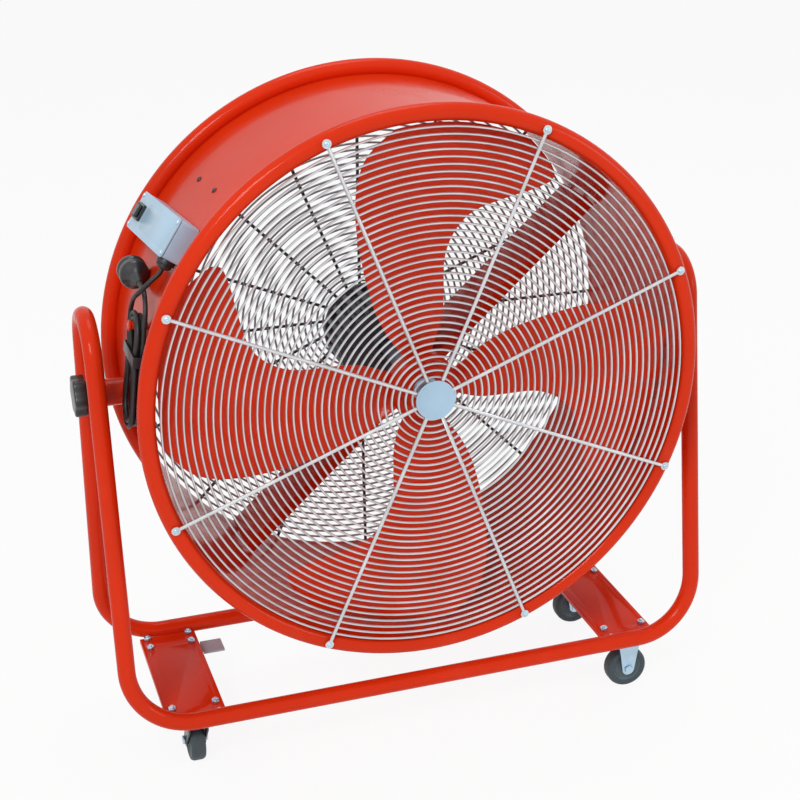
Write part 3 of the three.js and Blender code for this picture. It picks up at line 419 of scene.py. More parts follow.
def joined(*parts):
    """Several bmeshes as one; each part is freed."""
    whole = bmesh.new()
    for part in parts:
        mesh = bpy.data.meshes.new("part")
        part.to_mesh(mesh)
        part.free()
        whole.from_mesh(mesh)
        bpy.data.meshes.remove(mesh)
    return whole


def moved(bm, matrix):
    bmesh.ops.transform(bm, matrix=matrix, verts=bm.verts)
    return bm


def shift(x, y, z):
    return Matrix.Translation((x, y, z))


def turn(angle, axis):
    return Matrix.Rotation(math.radians(angle), 4, axis)


def softened(bm, width, segments=2, angle=35):
    """Rounds every edge that is sharper than the angle."""
    limit = math.radians(angle)
    sharp = [edge for edge in bm.edges
             if len(edge.link_faces) == 2 and edge.calc_face_angle(0) > limit]
    bmesh.ops.bevel(bm, geom=sharp, offset=width, offset_type="OFFSET", segments=segments,
                    profile=0.5, affect="EDGES", material=-1, clamp_overlap=True)
    return bm


def slab(low, high):
    """A block between two corners."""
    bm = bmesh.new()
    bmesh.ops.create_cube(bm, size=1)
    spread = Vector(high) - Vector(low)
    middle = (Vector(low) + Vector(high)) / 2
    return moved(bm, Matrix.Translation(middle) @ Matrix.Diagonal((*spread, 1)))


def disc(radius, from_y, to_y, sides=24, edge=0.6 * MM):
    """A round bar along Y with eased edges."""
    half = [(0, from_y), (radius, from_y), (radius, to_y), (0, to_y)]
    return spun(rounded(half, edge, 2), sides)


def prism(sides, radius, from_y, to_y, edge=0.5 * MM):
    """A bar along Y with a regular section, such as a nut."""
    bm = bmesh.new()
    bmesh.ops.create_cone(bm, cap_ends=True, segments=sides, radius1=radius, radius2=radius,
                          depth=to_y - from_y)
    moved(bm, shift(0, (from_y + to_y) / 2, 0) @ turn(90, "X"))
    return softened(bm, edge, 2, 25)


def open_curve(name, points, radius, sides):
    """A curve of one open line, with a round section and closed ends."""
    curve = bpy.data.curves.new(name, "CURVE")
    curve.dimensions = "3D"
    curve.bevel_depth = radius
    curve.bevel_resolution = sides // 2 - 2
    curve.use_fill_caps = True
    line = curve.splines.new("POLY")
    line.points.add(len(points) - 1)
    for spot, point in zip(line.points, points):
        spot.co = (*point, 1)
    return curve


def swept(points, radius, sides=12):
    """A round tube along points, closed at both ends."""
    curve = open_curve("route", points, radius, sides)
    holder = bpy.data.objects.new("route", curve)
    mesh = bpy.data.meshes.new_from_object(holder)
    bm = bmesh.new()
    bm.from_mesh(mesh)
    bpy.data.objects.remove(holder)
    bpy.data.curves.remove(curve)
    bpy.data.meshes.remove(mesh)
    bmesh.ops.remove_doubles(bm, verts=bm.verts, dist=HAIR)
    bmesh.ops.recalc_face_normals(bm, faces=bm.faces)
    return bm


def from_node(node, soften, segments=2, angle=32):
    """A clean copy of a node's solid, with its edges eased."""
    bm = bmesh.new()
    bm.from_mesh(frame["nodes"][node].data)
    bmesh.ops.remove_doubles(bm, verts=bm.verts, dist=HAIR)
    bmesh.ops.dissolve_limit(bm, angle_limit=math.radians(1), verts=bm.verts, edges=bm.edges)
    return softened(bm, soften, segments, angle)


def dressed(node, finish, soften, segments=2, angle=32):
    """A piece that follows a node's solid, with eased edges."""
    bm = from_node(node, soften, segments, angle)
    return piece(f"{node}_dressed", bm, finish, BODY_OF[node], node)


def screw(head, height, sides=20):
    """A domed screw head that stands on Y = 0 and points along -Y, with a cross slot."""
    dome = [(0, 0), (head, 0), (head, -height * 0.35), (head * 0.82, -height * 0.8),
            (head * 0.45, -height), (head * 0.30, -height), (head * 0.22, -height * 0.45),
            (0, -height * 0.40)]
    return spun(rounded(dome, head * 0.08, 1), sides)


def torus(radius, wire, y, steps=96, sides=10):
    """A ring of round wire about the Y axis."""
    section = [(radius + wire * math.cos(TURN * i / sides), y + wire * math.sin(TURN * i / sides))
               for i in range(sides)]
    return spun(section, steps, closed=True)


def arc(centre, radius, first, last, steps):
    """Points on an arc, angles in degrees."""
    angles = [math.radians(first + (last - first) * i / steps) for i in range(steps + 1)]
    return [(centre[0] + radius * math.cos(a), centre[1] + radius * math.sin(a)) for a in angles]


TO_DRUM = Matrix.Translation(DRUM_CENTRE)


def on_axis(name, parts, finish, body, *nodes):
    """A piece of parts that are made about the origin and belong about the drum's middle."""
    return piece(name, moved(joined(*parts), TO_DRUM), finish, body, *nodes)


def round_box(node):
    """Corners and radius of a node that is round about the drum's axis."""
    low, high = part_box(node)
    return low, high, (high.x - low.x) / 2


def mirrored(half):
    """A profile and its mirror image across Y = 0."""
    return half + [(radius, -y) for radius, y in half[::-1]]


# ------------------------------------------------------------------ drum and grilles

SEAM_ANGLE = -58                     # place of the wall's joint round the drum, degrees
FRONT_SPOKE_ANGLE = 21.2             # place of the first front spoke, degrees
# angle round the drum in degrees, place along it in mm
RIVET_SPOTS = [(132.8, -32), (133.7, 46)]
SCREW_SPOTS = [(157, 96), (158.2, 126), (47, 70), (47, 120), (227, 70), (227, 120)]


class DRUMFAN_OT_drum(bpy.types.Operator):
    """Builds the rolled drum with its rims, seam and wall screws"""
    bl_idname = "drum_fan.drum"
    bl_label = "Drum"

    def execute(self, context):
        rim, wall = sizes().rim_radius, sizes().wall
        centre = DRUM_RADIUS - rim
        plane = RIM_FACE - rim
        meet = math.degrees(math.acos((rim - wall) / rim))
        front = arc((centre, -plane), rim, 180, 540 - meet, 22)
        rear = arc((centre, plane), rim, 180 + meet, 540, 22)
        shell = spun(front + rear, 192, closed=True)
        on_axis("drum_rolled", [shell], "paint", "drum", "drum_shell")
        outside = DRUM_RADIUS - 2 * rim + wall
        self.add_seam(outside)
        self.add_fixings("wall_rivets", "black", RIVET_SPOTS, outside)
        self.add_fixings("wall_screws", "steel", SCREW_SPOTS, outside)
        return {"FINISHED"}

    def add_seam(self, outside):
        """The welded butt joint of the wall, low on the hidden side."""
        inner = RIM_FACE - 2 * sizes().rim_radius - 2 * MM
        bead = slab((-3 * MM, -inner, -0.4 * MM), (3 * MM, inner, 1.0 * MM))
        bmesh.ops.subdivide_edges(bead, edges=bead.edges, cuts=6, use_grid_fill=True)
        softened(bead, 0.5 * MM, 2, 50)
        seat = turn(SEAM_ANGLE, "Y") @ shift(0, 0, outside)
        on_axis("drum_seam", [moved(bead, seat)], "paint", "drum")

    def add_fixings(self, name, finish, spots, outside):
        """Small heads on the wall, over what holds the motor shelf and the cord clips."""
        heads = []
        for angle, y in spots:
            seat = turn(90 - angle, "Y") @ shift(0, y * MM, outside) @ turn(-90, "X")
            heads.append(moved(screw(4.2 * MM, 2.4 * MM), seat))
        on_axis(name, heads, finish, "drum")


class DRUMFAN_OT_grilles(bpy.types.Operator):
    """Builds the front and rear wire grilles"""
    bl_idname = "drum_fan.grilles"
    bl_label = "Grilles"

    def execute(self, context):
        front = self.grille(sizes().front_spokes, 180 - FRONT_SPOKE_ANGLE, 10)
        rings, rods, screws = (moved(part, turn(180, "Z")) for part in front)
        on_axis("front_wires", [rings, rods], "wire", "drum", "front_grille")
        on_axis("front_grille_screws", [screws], "steel", "drum")
        rings, rods, screws = self.grille(sizes().rear_spokes, 0, 8)
        on_axis("rear_rings", [rings], "ring_wire", "drum", "rear_grille")
        on_axis("rear_spokes", [rods], "dark_wire", "drum")
        on_axis("rear_grille_screws", [screws], "steel", "drum")
        self.add_discs()
        return {"FINISHED"}

    def lift(self, radius):
        outer = DRUM_RADIUS - sizes().grille_edge
        return max(0, sizes().grille_dome * (1 - (radius / outer) ** 2))

    def seat(self):
        """Where the spokes' middle line lies, out of the rim's face."""
        return RIM_FACE + 0.3 * MM + sizes().spoke_wire / 2

    def grille(self, spokes, first, sides):
        outer = DRUM_RADIUS - sizes().grille_edge
        eye = sizes().grille_eye
        count = sizes().ring_count
        wire = sizes().ring_wire / 2
        under = sizes().spoke_wire / 2 + wire - 0.6 * MM
        rings = []
        for i in range(count):
            radius = eye + (outer - eye) * i / (count - 1)
            y = self.seat() + self.lift(radius) - under
            rings.append(torus(radius, wire, y, 144, 6))
        rods = [self.spoke(first + 360 * i / spokes, sides) for i in range(spokes)]
        screws = [self.end_screw(first + 360 * i / spokes) for i in range(spokes)]
        return joined(*rings), joined(*rods), joined(*screws)

    def spoke(self, angle, sides):
        outer = DRUM_RADIUS - sizes().grille_edge
        eye = sizes().grille_eye
        rim = DRUM_RADIUS - sizes().rim_radius
        radii = [eye - 3 * MM] + [eye + (outer - eye) * i / 12 for i in range(13)]
        path = [(radius, self.seat() + self.lift(radius), 0) for radius in radii]
        path.append((rim - 6 * MM, self.seat(), 0))
        rod = swept(path, sizes().spoke_wire / 2, sides)
        eyelet = moved(disc(6.2 * MM, -1.1 * MM, 1.1 * MM, 24, 0.5 * MM),
                       shift(rim, self.seat(), 0))
        return moved(joined(rod, eyelet), turn(-angle, "Y"))

    def end_screw(self, angle):
        rim = DRUM_RADIUS - sizes().rim_radius
        head = moved(screw(3.4 * MM, 1.9 * MM), turn(180, "X"))
        place = turn(-angle, "Y") @ shift(rim, self.seat() + 1.1 * MM, 0)
        return moved(head, place)

    def add_discs(self):
        """The plain centre plates that the spokes are welded under."""
        for node, finish, side in (("front_disc", "pale", -1), ("rear_disc", "dark_wire", 1)):
            low, high, radius = round_box(node)
            thick = high.y - low.y
            dish = [(0, 0), (radius, 0), (radius, thick * 0.75), (radius * 0.94, thick),
                    (radius * 0.86, thick * 0.72), (0, thick * 0.78)]
            plate = spun(rounded(dish, 0.5 * MM, 3), 96)
            turned = turn(180, "Z") if side < 0 else Matrix.Identity(4)
            inner = high.y if side < 0 else low.y
            moved(plate, shift(0, inner, 0) @ turned)
            on_axis(f"{node}_pressed", [plate], finish, "drum", node)


# ------------------------------------------------------------------ impeller and motor

# radius in mm, angle of the front edge and of the back edge in degrees
BLADE_OUTLINE = [
    (47, 31, -24), (91.5, 33, -22), (131.8, 31, -16.5), (172, 27.6, -12.8), (208.6, 24.8, -13.5),
    (245.2, 22.3, -18), (278.2, 19.9, -26.5), (311.1, 17, -33.5), (340.4, 13, -35.5), (366, 6, -26),
]
BLADE_FRONT = -132
BLADE_BACK = -102
BLADE_CAMBER = 7


def catmull(values, at):
    """A smooth value through a list, at a place from 0 to its last index."""
    i = min(int(at), len(values) - 2)
    t = at - i
    a, b = values[i], values[i + 1]
    before = values[i - 1] if i else 2 * a - b
    after = values[i + 2] if i + 2 < len(values) else 2 * b - a
    return 0.5 * (2 * a + (b - before) * t + (2 * before - 5 * a + 4 * b - after) * t ** 2
                  + (3 * a - before - 3 * b + after) * t ** 3)


class DRUMFAN_OT_impeller(bpy.types.Operator):
    """Builds the pressed blades, their hub, the shaft and its nut"""
    bl_idname = "drum_fan.impeller"
    bl_label = "Impeller"

    def execute(self, context):
        for i in range(4):
            blade = moved(self.blade(), turn(-90 * i, "Y"))
            on_axis(f"blade_{i + 1}_pressed", [blade], "blade", "impeller", f"blade_{i + 1}")
        self.add_hub()
        return {"FINISHED"}

    def blade(self):
        """A bent grid, given its thickness and a rounded edge."""
        along, across = 40, 18
        bm = bmesh.new()
        bmesh.ops.create_grid(bm, x_segments=along, y_segments=across, size=0.5)
        rows = len(BLADE_OUTLINE) - 1
        columns = list(zip(*BLADE_OUTLINE))
        for corner in bm.verts:
            at = (corner.co.x + 0.5) * rows
            share = corner.co.y + 0.5
            radius, first, last = (catmull(column, at) for column in columns)
            angle = math.radians(first + (last - first) * share)
            depth = BLADE_FRONT + (BLADE_BACK - BLADE_FRONT) * share
            depth += BLADE_CAMBER * math.sin(math.pi * share)
            corner.co = Vector((radius * math.cos(angle), depth, radius * math.sin(angle))) * MM
        bmesh.ops.recalc_face_normals(bm, faces=bm.faces)
        bmesh.ops.solidify(bm, geom=bm.faces[:], thickness=sizes().blade_sheet)
        bmesh.ops.recalc_face_normals(bm, faces=bm.faces)
        return softened(bm, sizes().blade_sheet * 0.35, 2, 60)

    def add_hub(self):
        low, high, radius = round_box("impeller_hub")
        profile = [(14 * MM, low.y), (30 * MM, low.y), (32 * MM, low.y + 3 * MM),
                   (radius - 5 * MM, low.y + 3 * MM), (radius, low.y + 8 * MM),
                   (radius, high.y - 3 * MM), (radius - 4 * MM, high.y), (14 * MM, high.y)]
        parts = [spun(rounded(profile, 2 * MM, 3), 96, closed=True)]
        for i in range(8):
            bolt = moved(prism(6, 4.6 * MM, -3 * MM, 0), shift(38 * MM, low.y + 3 * MM, 0))
            parts.append(moved(bolt, turn(-22.5 - 45 * i, "Y")))
        on_axis("hub_turned", parts, "blade", "impeller", "impeller_hub")
        dressed("motor_shaft", "steel", 0.6 * MM, 2, 60)
        nut_low, nut_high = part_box("shaft_nut")
        nut = [
            prism(6, 17 * MM, nut_low.y, nut_high.y - 2 * MM, 0.9 * MM),
            disc(18 * MM, nut_high.y - 1.9 * MM, nut_high.y, 40, 0.5 * MM),
            disc(10 * MM, nut_low.y - 1 * MM, nut_low.y + 2 * MM, 32, 0.8 * MM),
        ]
        on_axis("shaft_nut_turned", nut, "steel", "impeller", "shaft_nut")


SHELF_ANGLE = 42                     # slope of the motor shelf, degrees


class DRUMFAN_OT_motor(bpy.types.Operator):
    """Builds the motor, its end covers and the shelf that carries it"""
    bl_idname = "drum_fan.motor"
    bl_label = "Motor and shelf"

    def execute(self, context):
        dressed("motor_body", "motor", 0.8 * MM, 2, 20)
        self.add_front_cover()
        self.add_cowl()
        dressed("motor_foot", "motor", 1.2 * MM, 3)
        self.add_shelf()
        return {"FINISHED"}

    def add_front_cover(self):
        low, high, radius = round_box("motor_front_shield")
        depth = high.y - low.y
        profile = [(13.5 * MM, low.y), (22 * MM, low.y), (26 * MM, low.y + depth * 0.35),
                   (radius * 0.80, low.y + depth * 0.45), (radius, low.y + depth * 0.75),
                   (radius, high.y), (13.5 * MM, high.y)]
        parts = [spun(rounded(profile, 2.2 * MM, 3), 96, closed=True)]
        for i in range(4):
            bolt = moved(prism(6, 4.5 * MM, -3 * MM, 0),
                         shift(radius * 0.74, low.y + depth * 0.44, 0))
            parts.append(moved(bolt, turn(-45 - 90 * i, "Y")))
            rib = slab((24 * MM, low.y + depth * 0.2, -2 * MM),
                       (radius * 0.9, low.y + depth * 0.8, 2 * MM))
            parts.append(moved(softened(rib, 0.8 * MM, 2), turn(-90 * i, "Y")))
        on_axis("motor_front_cover", parts, "motor", "drum", "motor_front_shield")

    def add_cowl(self):
        low, high, radius = round_box("motor_cowl")
        profile = [(0, low.y), (radius, low.y), (radius, high.y - 8 * MM),
                   (radius - 8 * MM, high.y - 0.5 * MM), (0, high.y - 0.5 * MM)]
        parts = [spun(rounded(profile, 5 * MM, 4), 96)]
        for ring in range(5):
            parts.append(torus((14 + 9 * ring) * MM, 1.3 * MM, high.y - 1.3 * MM, 72, 8))
        on_axis("motor_rear_cowl", parts, "motor", "drum", "motor_cowl")

    def add_shelf(self):
        """The pressed channel across the drum, with the bolts that hold the motor's foot."""
        dressed("motor_shelf", "paint", 1.0 * MM, 3)
        low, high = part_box("motor_shelf")
        slope = math.radians(SHELF_ANGLE)
        along = Vector((math.cos(slope), 0, math.sin(slope)))
        under = Vector((along.z, 0, -along.x))
        bolts = []
        for i in (-1, 1):
            for y in (low.y + 18 * MM, high.y - 22 * MM):
                spot = DRUM_CENTRE + along * (i * 36 * MM) + under * (70.2 * MM)
                spot.y = y
                face = Matrix.Translation(spot) @ turn(-SHELF_ANGLE, "Y") @ turn(-90, "X")
                bolts.append(moved(prism(6, 5.5 * MM, -4 * MM, 0), face))
        piece("motor_foot_bolts", joined(*bolts), "steel", "drum")


# ------------------------------------------------------------------ control box and cord

BOX_ANGLE = 145.3
BOX_TILT = 5
BOX_FRONT = -101.5
BOX_REAR = 104.5
BOX_PLACE = TO_DRUM @ Matrix((
    (0, -math.sin(math.radians(BOX_ANGLE)), math.cos(math.radians(BOX_ANGLE)), 0),
    (1, 0, 0, 0),
    (0, math.cos(math.radians(BOX_ANGLE)), math.sin(math.radians(BOX_ANGLE)), 0),
    (0, 0, 0, 1),
)) @ turn(BOX_TILT, "Z")
BOX_BASE = 379.3
BOX_TOP = 406.3
LID_TOP = 409.6


class DRUMFAN_OT_control_box(bpy.types.Operator):
    """Builds the control box with its lid, switch and cable gland"""
    bl_idname = "drum_fan.control_box"
    bl_label = "Control box"

    def execute(self, context):
        dressed("control_box", "pale", 1.6 * MM, 3, 30)
        self.add_lid()
        dressed("switch_bezel", "black", 0.6 * MM, 3, 30)
        dressed("switch_rocker", "black", 0.7 * MM, 3, 20)
        self.add_gland()
        return {"FINISHED"}

    def add_lid(self):
        skirt = from_node("control_lid", 0.9 * MM, 3, 30)
        panel = slab(Vector((BOX_FRONT + 14, -18, LID_TOP - 1)) * MM,
                     Vector((50, 18, LID_TOP + 0.35)) * MM)
        blank = moved(softened(panel, 0.25 * MM, 2), BOX_PLACE)
        piece("lid_pressed", skirt, "pale", "drum", "control_lid")
        piece("lid_blank_panel", blank, "pale", "drum")
        heads = []
        for x in (BOX_FRONT + 5, BOX_REAR - 5):
            for y in (-22, 22):
                place = BOX_PLACE @ shift(x * MM, y * MM, LID_TOP * MM) @ turn(-90, "X")
                heads.append(moved(screw(3.2 * MM, 1.8 * MM), place))
        piece("lid_screws", joined(*heads), "steel", "drum")

    def add_gland(self):
        """The ribbed nut and the soft seal round the cord, under the box's lower side."""
        length = GLAND_LENGTH * MM
        rings = [(0, length), (5.3 * MM, length), (8.5 * MM, length - 1.5 * MM),
                 (10 * MM, length - 3 * MM), (10 * MM, 7 * MM), (13 * MM, 6.6 * MM),
                 (13 * MM, 0), (0, 0)]
        parts = [spun(rounded(rings, 0.7 * MM, 3), 64)]
        for i in range(18):
            rib = slab((9.6 * MM, 7.4 * MM, -0.55 * MM),
                       (10.7 * MM, length - 3.4 * MM, 0.55 * MM))
            parts.append(moved(softened(rib, 0.3 * MM, 1), turn(-20 * i, "Y")))
        foot = GLAND_MOUTH - Vector((0, GLAND_LENGTH, 0))
        place = BOX_PLACE @ Matrix.Translation(foot * MM)
        piece("gland_ribbed", moved(joined(*parts), place), "black", "drum", "cord_gland")


GLAND_LENGTH = 14
GLAND_MOUTH = Vector((BOX_FRONT + 20, 27 + 0.3 + GLAND_LENGTH, (BOX_BASE + BOX_TOP) / 2))
WALL_OUTSIDE = 379
CORD = 6.5
HANK_ANGLE = 172
HANK_SETBACK = -62
HANK_LIFT = 0.3 + 2 + 0.6 + CORD / 2
HALF_RUN = 15 * CORD / 2
HANK_TURNS = 3.75
HANK_REVERSE = math.floor(HANK_TURNS / 2) + 0.625
HANK_LAYER = 7.2
WAIST_HEIGHT = 0.42 * HALF_RUN
PLUG_ANGLE = 156
PLUG_RADIUS = 20.5
PLUG_DISTANCE = WALL_OUTSIDE + 0.3 + PLUG_RADIUS
PLUG_MIDDLE = 12
BOOT_END = PLUG_MIDDLE - 45


def beside(angle, radius, y):
    """A point beside the drum in mm: angle round its axis, distance from it, place along it."""
    return Vector((radius * math.cos(math.radians(angle)), y,
                   radius * math.sin(math.radians(angle))))


UP = beside(HANK_ANGLE - 90, 1, 0)
OUT = beside(HANK_ANGLE, 1, 0)
HANK_MIDDLE = beside(HANK_ANGLE, WALL_OUTSIDE + HANK_LIFT, HANK_SETBACK)


def on_hank(u, v, w):
    """u to the front, v up the wall, w outwards."""
    return HANK_MIDDLE + Vector((0, -u, 0)) + UP * v + OUT * w


def hank_loop(p):
    return 3 * CORD + 7.4 * abs(p - HANK_REVERSE)


def drawn_in(v):
    reach = HALF_RUN - WAIST_HEIGHT if v > WAIST_HEIGHT else HALF_RUN + WAIST_HEIGHT
    return 4.6 * math.cos(math.pi / 2 * (v - WAIST_HEIGHT) / reach) ** 2


def hank_point(p):
    """The cord's centre after p turns of the hank."""
    quarter = math.floor((p % 1) * 4 + 1e-9)
    share = (p % 1) * 4 - quarter
    width = hank_loop(p)
    climb = min(max((p - HANK_REVERSE) * 4 + 0.5, 0), 1)
    w = HANK_LAYER * (1 - math.cos(math.pi * climb)) / 2
    if quarter == 0:
        v = HALF_RUN * (1 - 2 * share)
        return on_hank(width - drawn_in(v), v, w)
    if quarter == 2:
        v = HALF_RUN * (2 * share - 1)
        return on_hank(drawn_in(v) - width, v, w)
    sign = 1 if quarter == 1 else -1
    angle = math.pi * share
    return on_hank(sign * width * math.cos(angle),
                   -sign * (HALF_RUN + width * math.sin(angle)), w)


def smooth_route(points, steps):
    """Evenly spaced points on a smooth line through the given points."""
    ends = [2 * points[0] - points[1], *points, 2 * points[-1] - points[-2]]
    fine = []
    for a, b, c, d in zip(ends, ends[1:], ends[2:], ends[3:]):
        t1 = max((b - a).length ** 0.5, 1e-6)
        t2 = t1 + max((c - b).length ** 0.5, 1e-6)
        t3 = t2 + max((d - c).length ** 0.5, 1e-6)
        for k in range(24):
            t = t1 + (t2 - t1) * k / 24
            ab = a.lerp(b, t / t1)
            bc = b.lerp(c, (t - t1) / (t2 - t1))
            cd = c.lerp(d, (t - t2) / (t3 - t2))
            abc = ab.lerp(bc, t / t2)
            bcd = bc.lerp(cd, (t - t1) / (t3 - t1))
            fine.append(abc.lerp(bcd, (t - t1) / (t2 - t1)))
    fine.append(points[-1].copy())
    lengths = [0.0]
    for first, second in zip(fine, fine[1:]):
        lengths.append(lengths[-1] + (second - first).length)
    spaced, k = [], 0
    for i in range(steps + 1):
        target = lengths[-1] * i / steps
        while k < len(fine) - 2 and lengths[k + 1] < target:
            k += 1
        share = (target - lengths[k]) / max(lengths[k + 1] - lengths[k], 1e-9)
        spaced.append(fine[k].lerp(fine[k + 1], min(max(share, 0), 1)))
    return spaced


def cord_route():
    """The whole cord in mm from the drum's middle: lead, hank and tail."""
    top = HALF_RUN + CORD
    start = on_hank(hank_loop(0), top + 0.3, 0)
    end = on_hank(-hank_loop(HANK_TURNS), top + 0.3, HANK_LAYER)
    box = Matrix.Translation(-DRUM_CENTRE / MM) @ Matrix.Diagonal((1 / MM,) * 3 + (1,)) @ BOX_PLACE
    mouth = box @ ((GLAND_MOUTH + Vector((0, 0.3, 0))) * MM)
    way = (box.to_3x3() @ Vector((0, 1, 0))).normalized()
    lead = [
        mouth, mouth + way * CORD, on_hank(22.5, 128, -5), on_hank(18, 116, 3.5),
        on_hank(9, 106.5, 8.2), on_hank(-3, 99.5, 9), on_hank(-14, 92.5, 8.6),
        on_hank(-24, 84.5, 7.8), on_hank(-33.2, 73, 7.2), end + UP * CORD, end,
    ]
    tail = [
        beside(PLUG_ANGLE, PLUG_DISTANCE, BOOT_END - 0.3),
        beside(PLUG_ANGLE, PLUG_DISTANCE, BOOT_END - 0.3 - CORD),
        on_hank(-1, 110.2, -0.8), on_hank(11, 107.5, -0.7), on_hank(21.5, 100, -0.5),
        on_hank(29, 89, -0.3), on_hank(31.5, 76, -0.1), start + UP * CORD, start,
    ]
    count = round(HANK_TURNS * 96)
    hank = [on_hank(hank_loop(0), top, 0)]
    hank += [hank_point(HANK_TURNS * i / count) for i in range(count)]
    hank += [on_hank(-hank_loop(HANK_TURNS), HALF_RUN, HANK_LAYER),
             on_hank(-hank_loop(HANK_TURNS), top, HANK_LAYER)]
    return smooth_route(lead, 90)[:-1] + hank[::-1] + smooth_route(tail, 45)[::-1][1:]


class DRUMFAN_OT_cord(bpy.types.Operator):
    """Builds the supply cord, its plug, the tie and the peg it hangs on"""
    bl_idname = "drum_fan.cord"
    bl_label = "Supply cord"

    def execute(self, context):
        route = [DRUM_CENTRE + point * MM for point in cord_route()]
        length = sum((b - a).length for a, b in zip(route, route[1:]))
        curve = open_curve("supply_cord", route, sizes().cord / 2, 12)
        curve.splines[0].use_smooth = True
        curve.materials.append(finish_named("rubber"))
        cord = new_object("supply_cord", curve)
        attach(cord, "drum")
        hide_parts("cord_lead", "cord_hank", "cord_tail")
        plug = self.add_plug()
        band = from_node("hank_tie", 0.6 * MM, 3, 30)
        tie = piece("hank_strap", band, "black", "drum", "hank_tie")
        dressed("cord_hook", "paint", 1.0 * MM, 3, 40)
        return {"FINISHED"}

    def add_plug(self):
        """A round moulded plug with a ribbed boot, a grip rim and two pins."""
        face = 17 * MM
        outline = [(0, -45 * MM), (4.6 * MM, -45 * MM), (8.8 * MM, -24 * MM),
                   (13 * MM, -18 * MM), (19 * MM, -12 * MM), (20.5 * MM, -8 * MM),
                   (20.5 * MM, -3 * MM), (18.6 * MM, 0), (18.6 * MM, 8 * MM),
                   (20.5 * MM, 11 * MM), (20.5 * MM, face), (0, face)]
        parts = [spun(rounded(outline, 1.6 * MM, 4), 72)]
        for i in range(5):
            parts.append(torus((5.0 + 0.78 * i) * MM, 0.9 * MM, (4 * i - 41) * MM, 48, 8))
        centre = beside(PLUG_ANGLE, PLUG_DISTANCE, PLUG_MIDDLE) * MM
        body = moved(joined(*parts), Matrix.Translation(centre))
        plug = on_axis("plug_moulded", [body], "black", "drum", "plug_body")
        pins = []
        for node in ("plug_pin_1", "plug_pin_2"):
            low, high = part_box(node)
            middle = (low + high) / 2
            shape = [(0, low.y), (2.4 * MM, low.y), (2.4 * MM, high.y - 2 * MM),
                     (1.2 * MM, high.y), (0, high.y)]
            pin = moved(spun(rounded(shape, 0.7 * MM, 3), 24), shift(middle.x, 0, middle.z))
            pins.append(piece(f"{node}_turned", pin, "steel", "drum", node))
        return [plug, *pins]


# ------------------------------------------------------------------ frame and pivots

FRAME_HALF_WIDTH = 437
FOOT_SPREAD = 134
RAIL_HEIGHT = 98.5
ARCH_HEIGHT = 673
ARCH_RADIUS = 58
ARCH_FLAT = 2
CORNER_RADIUS = 92
ARCH_CENTRE = ARCH_HEIGHT - ARCH_RADIUS
LEG_LEAN = (math.acos(ARCH_RADIUS / math.hypot(FOOT_SPREAD - ARCH_FLAT, ARCH_CENTRE - RAIL_HEIGHT))
            - math.atan2(ARCH_CENTRE - RAIL_HEIGHT, FOOT_SPREAD - ARCH_FLAT))


def frame_route(side, steps=24):
    """Half of the frame in mm: down a leg from the side arch, along the rail and up again."""
    lean_up = Vector((0, -side * math.sin(LEG_LEAN), math.cos(LEG_LEAN)))

    def arch(x):
        points = [Vector((x, side * 0.15, ARCH_HEIGHT))]
        for i in range(steps + 1):
            angle = math.pi / 2 + (LEG_LEAN - math.pi / 2) * i / steps
            points.append(Vector((x, side * (ARCH_FLAT + ARCH_RADIUS * math.cos(angle)),
                                  ARCH_CENTRE + ARCH_RADIUS * math.sin(angle))))
        return points

    def bend(x):
        inwards = Vector((-math.copysign(1, x), 0, 0))
        corner = Vector((x, side * FOOT_SPREAD, RAIL_HEIGHT))
        points = []
        for i in range(steps + 1):
            angle = math.pi / 2 * i / steps
            points.append(corner + inwards * CORNER_RADIUS * (1 - math.cos(angle))
                          + lean_up * CORNER_RADIUS * (1 - math.sin(angle)))
        return points

    left, right = -FRAME_HALF_WIDTH, FRAME_HALF_WIDTH
    return arch(left) + bend(left) + bend(right)[::-1] + arch(right)[::-1]


def ring_bead(centre, normal, radius, wire):
    """A weld bead round a tube: a ring whose thickness wavers."""
    ring = torus(radius, wire, 0, 72, 8)
    for corner in ring.verts:
        angle = math.atan2(corner.co.z, corner.co.x)
        corner.co.y += wire * 0.22 * math.sin(26 * angle)
    turned = Vector((0, 1, 0)).rotation_difference(normal).to_matrix().to_4x4()
    return moved(ring, Matrix.Translation(centre) @ turned)


def beside_drum(side, node):
    """Where a round piece of one side starts: its end nearest the drum, Y pointing outwards."""
    low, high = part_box(node)
    near = high.x if side == "left" else low.x
    return (Matrix.Translation((near, 0, AXIS_HEIGHT))
            @ turn(90 if side == "left" else -90, "Z"))


